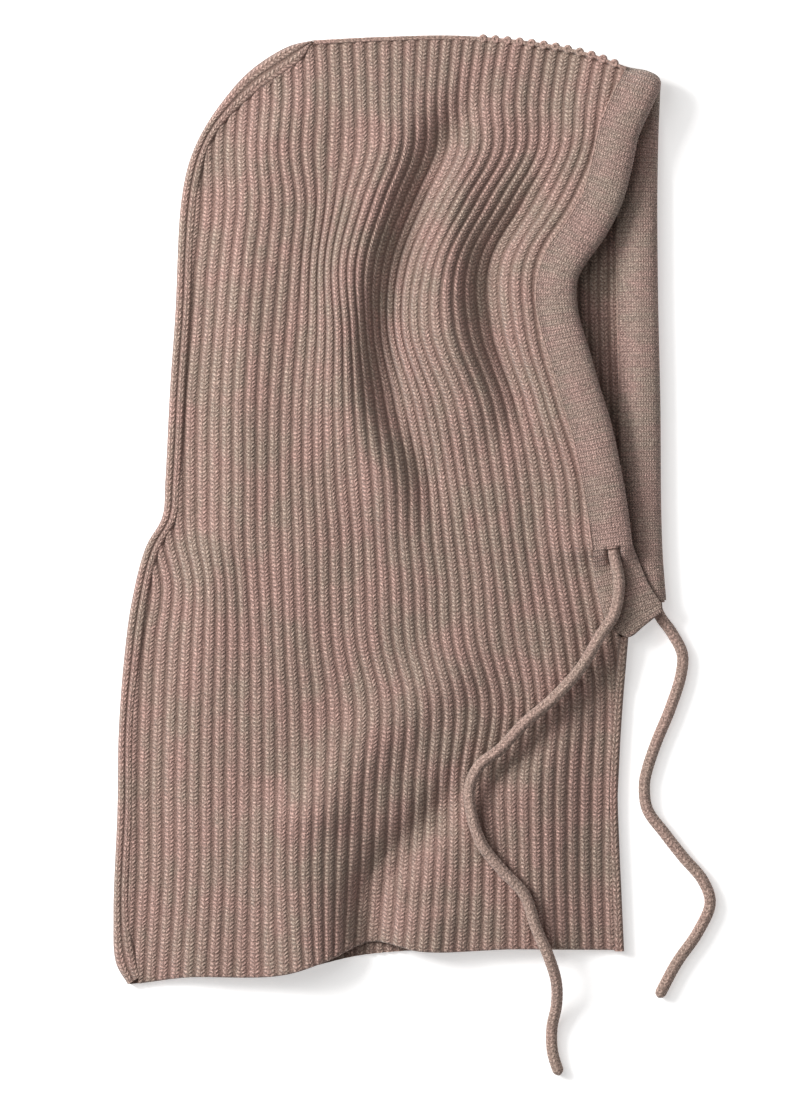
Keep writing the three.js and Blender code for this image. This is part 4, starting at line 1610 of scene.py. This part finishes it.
@dataclass
class Drawcord:
    """The knitted drawcord: two free ends, the runs behind them, and the eyelets they pass."""

    lay: Lay
    sides: int = 30
    wales: int = 5
    course: float = 0.0026
    travel: float = 0.055
    overlap: float = 0.0006
    lead: float = 0.0045
    run_room: float = 0.062
    ribbing: float = 0.00045
    bead: float = 0.00008
    tip: float = 0.0034
    rim_sides: int = 10
    right_exit: Array = field(default_factory=lambda: np.array([0.114867, -0.019134, 0.0167]))
    right_pull: Array = field(default_factory=lambda: np.array([0.151597, -0.988442, 0.0]))
    left_exit: Array = field(default_factory=lambda: np.array([0.138118, -0.047357, 0.0053]))
    left_pull: Array = field(default_factory=lambda: np.array([0.07794, -0.996958, 0.0]))

    RIGHT_LENGTH = 0.320
    LEFT_LENGTH = 0.232
    RIGHT = (
        (0.1182, -0.0375, 0.0167), (0.1158, -0.0537, 0.0167), (0.1086, -0.0651, 0.0167),
        (0.0982, -0.0823, 0.0167), (0.0841, -0.0979, 0.0167), (0.0680, -0.1119, 0.0167),
        (0.0566, -0.1242, 0.0167), (0.0454, -0.1332, 0.0167), (0.0407, -0.1441, 0.0167),
        (0.0420, -0.1597, 0.0167), (0.0477, -0.1748, 0.0167), (0.0576, -0.1873, 0.0167),
        (0.0690, -0.1998, 0.0167), (0.0753, -0.2175, 0.0167), (0.0818, -0.2325, 0.0167),
        (0.0857, -0.2455, 0.0126), (0.0860, -0.2580, 0.0070), (0.0837, -0.2705, 0.0038),
        (0.0841, -0.2830, 0.0034), (0.0878, -0.2950, 0.0034),
    )
    LEFT = (
        (0.1405, -0.0562, 0.0047), (0.1462, -0.0640, 0.0038), (0.1517, -0.0750, 0.0034),
        (0.1512, -0.0854, 0.0034), (0.1455, -0.1036, 0.0034), (0.1382, -0.1213, 0.0034),
        (0.1335, -0.1353, 0.0034), (0.1320, -0.1431, 0.0034), (0.1335, -0.1561, 0.0034),
        (0.1424, -0.1686, 0.0034), (0.1522, -0.1811, 0.0034), (0.1626, -0.1935, 0.0034),
        (0.1663, -0.2050, 0.0034), (0.1600, -0.2201, 0.0034), (0.1486, -0.2367, 0.0034),
        (0.1392, -0.2544, 0.0034),
    )

    def route(self, exit_point: Array, pull: Array, rest: tuple) -> Array:
        """Lists a free end's route, straight out of its eyelet and then along its curve."""
        lead = [exit_point + pull * 0.0003, exit_point + pull * self.lead]
        return np.concatenate([lead, np.array(rest)])

    def tube(self, name: str, path: Array, rounded: bool) -> Piece:
        """Knits a round cord along a path.

        Args:
            name: the piece's name.
            path: close points along its middle.
            rounded: whether its last end is gathered into a round tip.

        Returns:
            The cord.
        """
        travelled = travel(path)
        turn = np.linspace(0, 2 * math.pi, self.sides, endpoint=False)
        crest = np.abs(np.sin(turn * self.wales / 2)) ** 0.7
        bead = self.bead * np.cos(2 * math.pi * travelled / self.course)
        ring = (self.lay.cord_diameter / 2 - self.ribbing + self.ribbing * crest)[None, :] + bead[:, None]
        if rounded:
            left = np.clip((travelled[-1] - travelled) / self.tip, 0, 1)
            ring = ring * np.sqrt(np.clip(1 - (1 - left) ** 2, 0.02, 1))[:, None]
        return knitted_tube(name, path, (0, 0, 1), ring, self.sides, self.wales, travelled / self.course)

    def build_free_end(
        self, name: str, exit_point: Array, pull: Array, rest: tuple,
    ) -> tuple[Piece, Array]:
        """Makes one free end of the cord.

        Args:
            name: the piece's name.
            exit_point: where it leaves the casing.
            pull: the way it is pulled.
            rest: the places it passes as it lies.

        Returns:
            The free end and its path.
        """
        path = along_points(self.route(exit_point, pull, rest), 230)
        tip = np.array([0.9, 0.98, 0.999])[:, None] * (path[-1] - path[-2]) + path[-2]
        path = np.concatenate([path[:-1], tip])
        return self.tube(name, path, True), path

    def build_run(self, name: str, exit_point: Array, pull: Array) -> Piece:
        """Makes the straight run that follows a free end, reaching a little past the exit to meet it.

        Args:
            name: the piece's name.
            exit_point: where the free end leaves the casing.
            pull: the way it is pulled.

        Returns:
            The run.
        """
        path = exit_point + np.linspace(-self.travel, self.overlap, 36)[:, None] * pull
        return self.tube(name, path, False)

    def build_casing_cord(self, casing: FaceCasing) -> Piece:
        """Makes the stretch of cord that stays inside the casing.

        Args:
            casing: the casing it runs through.

        Returns:
            The cord.
        """
        middle, _, travelled = casing.tunnel_lines()
        keep = (travelled > self.run_room) & (travelled < travelled[-1] - self.run_room)
        path = along_points(middle[keep], 200)
        radius = np.full((1, 1), self.lay.cord_diameter / 2 - 0.0003)
        courses = np.arange(len(path)) * 0.9
        return knitted_tube(
            "casing_cord_knit", path, (1, 0, 0.2), radius, self.sides, self.wales, courses,
        )

    def build_eyelet(self, name: str, exit_point: Array, pull: Array) -> Piece:
        """Makes the stitched rim round the cord's exit.

        Args:
            name: the piece's name.
            exit_point: where the cord leaves.
            pull: the way it is pulled.

        Returns:
            The rim, a ring of thread wound round with stitches.
        """
        clear_selection()
        centre = exit_point + pull * 0.0006
        lean = math.atan2(pull[0], -pull[1])
        bpy.ops.mesh.primitive_torus_add(
            major_radius=0.0039, minor_radius=0.00042, major_segments=60,
            minor_segments=self.rim_sides,
            location=tuple(centre), rotation=(math.pi / 2, 0, lean),
        )
        rim = bpy.context.object
        rim.name = name
        rim.data.name = name
        bpy.ops.object.transform_apply(location=True, rotation=True, scale=True)
        bpy.ops.object.mode_set(mode="EDIT")
        bpy.ops.mesh.select_all(action="DESELECT")
        bpy.ops.object.mode_set(mode="OBJECT")
        for index, vertex in enumerate(rim.data.vertices):
            vertex.select = (index // self.rim_sides) % 4 in (0, 1)
        bpy.ops.object.mode_set(mode="EDIT")
        bpy.ops.mesh.select_mode(type="VERT")
        bpy.ops.transform.shrink_fatten(value=0.00014)
        bpy.ops.object.mode_set(mode="OBJECT")
        bpy.ops.object.shade_smooth()
        rim.data.uv_layers[0].name = "knit"
        clear_selection()
        return rim

    def build(self, wardrobe: Wardrobe, casing: FaceCasing) -> None:
        """Makes and dresses both free ends, both runs, the inner cord and the eyelets.

        Args:
            wardrobe: the finishes.
            casing: the casing that the cord runs through.
        """
        for side, exit_point, pull, rest, body, length in (
            ("right", self.right_exit, self.right_pull, self.RIGHT, RIGHT_CORD_BODY, self.RIGHT_LENGTH),
            ("left", self.left_exit, self.left_pull, self.LEFT, LEFT_CORD_BODY, self.LEFT_LENGTH),
        ):
            free, path = self.build_free_end(side + "_cord_knit", exit_point, pull, rest)
            run = self.build_run(side + "_cord_run_knit", exit_point, pull)
            rim = self.build_eyelet(side + "_eyelet_rim", exit_point, pull)
            wardrobe.dress(free, Knit.CORD, side + "_drawcord", body)
            wardrobe.dress(run, Knit.CORD, side + "_drawcord_run", body)
            wardrobe.dress(rim, Knit.SEAM, side + "_eyelet")
        wardrobe.dress(self.build_casing_cord(casing), Knit.CORD, "casing_drawcord")


# ---------------------------------------------------------------- studio


@dataclass
class Studio:
    """The pale floor, the soft lights and the camera straight above."""

    centre: tuple = (0.00198, -0.0251)
    frame_height: float = 0.5803
    camera_height: float = 2.6
    lay_height: float = 0.012
    sensor: float = 24.0
    glow: float = 0.44
    sky: float = 0.22

    # Each soft light's name, place, side in metres and power in watts
    LIGHTS = (
        ("key", (-1.40, 0.62, 1.10), 0.7, 42.0),
        ("top", (-0.95, 0.5, 1.9), 1.2, 14.0),
    )

    def set_camera(self) -> None:
        """Looks straight down at the lay, so that the frame takes it in with a margin."""
        data = bpy.data.cameras.new("overhead")
        camera = bpy.data.objects.new("overhead", data)
        camera.location = (self.centre[0], self.centre[1], self.camera_height)
        data.sensor_fit = "VERTICAL"
        data.sensor_height = self.sensor
        data.lens = self.sensor * (self.camera_height - self.lay_height) / self.frame_height
        data.clip_end = 20.0
        bpy.context.scene.collection.objects.link(camera)
        bpy.context.scene.camera = camera

    def area_light(self, name: str, place: tuple, size: float, power: float) -> None:
        """Hangs a square soft light that points at the middle of the floor.

        Args:
            name: the light's name.
            place: where it hangs.
            size: its side, in metres.
            power: its power, in watts.
        """
        data = bpy.data.lights.new(name, "AREA")
        data.shape = "SQUARE"
        data.size = size
        data.energy = power
        lamp = bpy.data.objects.new(name, data)
        lamp.location = place
        way = -np.array(place, float)
        flat = math.hypot(way[0], way[1])
        lamp.rotation_euler = (math.atan2(flat, -way[2]), 0, math.atan2(-way[0], way[1]))
        bpy.context.scene.collection.objects.link(lamp)

    def build(self) -> None:
        """Sets out the floor and the lights."""
        clear_selection()
        bpy.ops.mesh.primitive_plane_add(size=14.0, location=(0, 0, -0.0004))
        floor = bpy.context.object
        floor.name = "studio_floor"
        material = bpy.data.materials.new("studio paper")
        material.use_nodes = True
        shader = material.node_tree.nodes["Principled BSDF"]
        Wiring(material.node_tree).fill(shader, {
            "Base Color": (0.93, 0.925, 0.92, 1), "Roughness": 0.9, "Specular IOR Level": 0.1,
            "Emission Color": (1.0, 0.99, 0.985, 1), "Emission Strength": self.glow,
        })
        floor.data.materials.append(material)
        clear_selection()
        floor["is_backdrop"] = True
        for light in self.LIGHTS:
            self.area_light(*light)
        world = bpy.data.worlds.new("studio")
        world.use_nodes = True
        sky = world.node_tree.nodes["Background"]
        sky.inputs["Color"].default_value = (1.0, 1.0, 1.0, 1)
        sky.inputs["Strength"].default_value = self.sky
        bpy.context.scene.world = world
        bpy.context.scene.view_settings.view_transform = "Standard"


def main() -> None:
    """Builds the studio, the cords and then every knitted piece, and reports each one."""
    logging.basicConfig(level=logging.INFO, format="%(name)s: %(message)s")
    studio = Studio()
    studio.set_camera()
    wardrobe = Wardrobe()
    wardrobe.prepare()
    lay = Lay()
    lay.measure()
    route = CasingRoute(lay)
    casing = FaceCasing(lay, route)
    cord = Drawcord(lay)
    cord.build(wardrobe, casing)
    right_route = cord.route(cord.right_exit, cord.right_pull, cord.RIGHT)
    relief = NearRelief(lay, route, right_route)
    casing.build(wardrobe)
    SidePanels(lay, relief, RibGrid()).build(wardrobe)
    EdgeBands(lay, relief).build(wardrobe)
    studio.build()
    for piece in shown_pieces():
        if hasattr(piece, "data") and hasattr(piece.data, "polygons"):
            log.info("%s: %d faces", piece.name, len(piece.data.polygons))


if __name__ == "__main__":
    main()
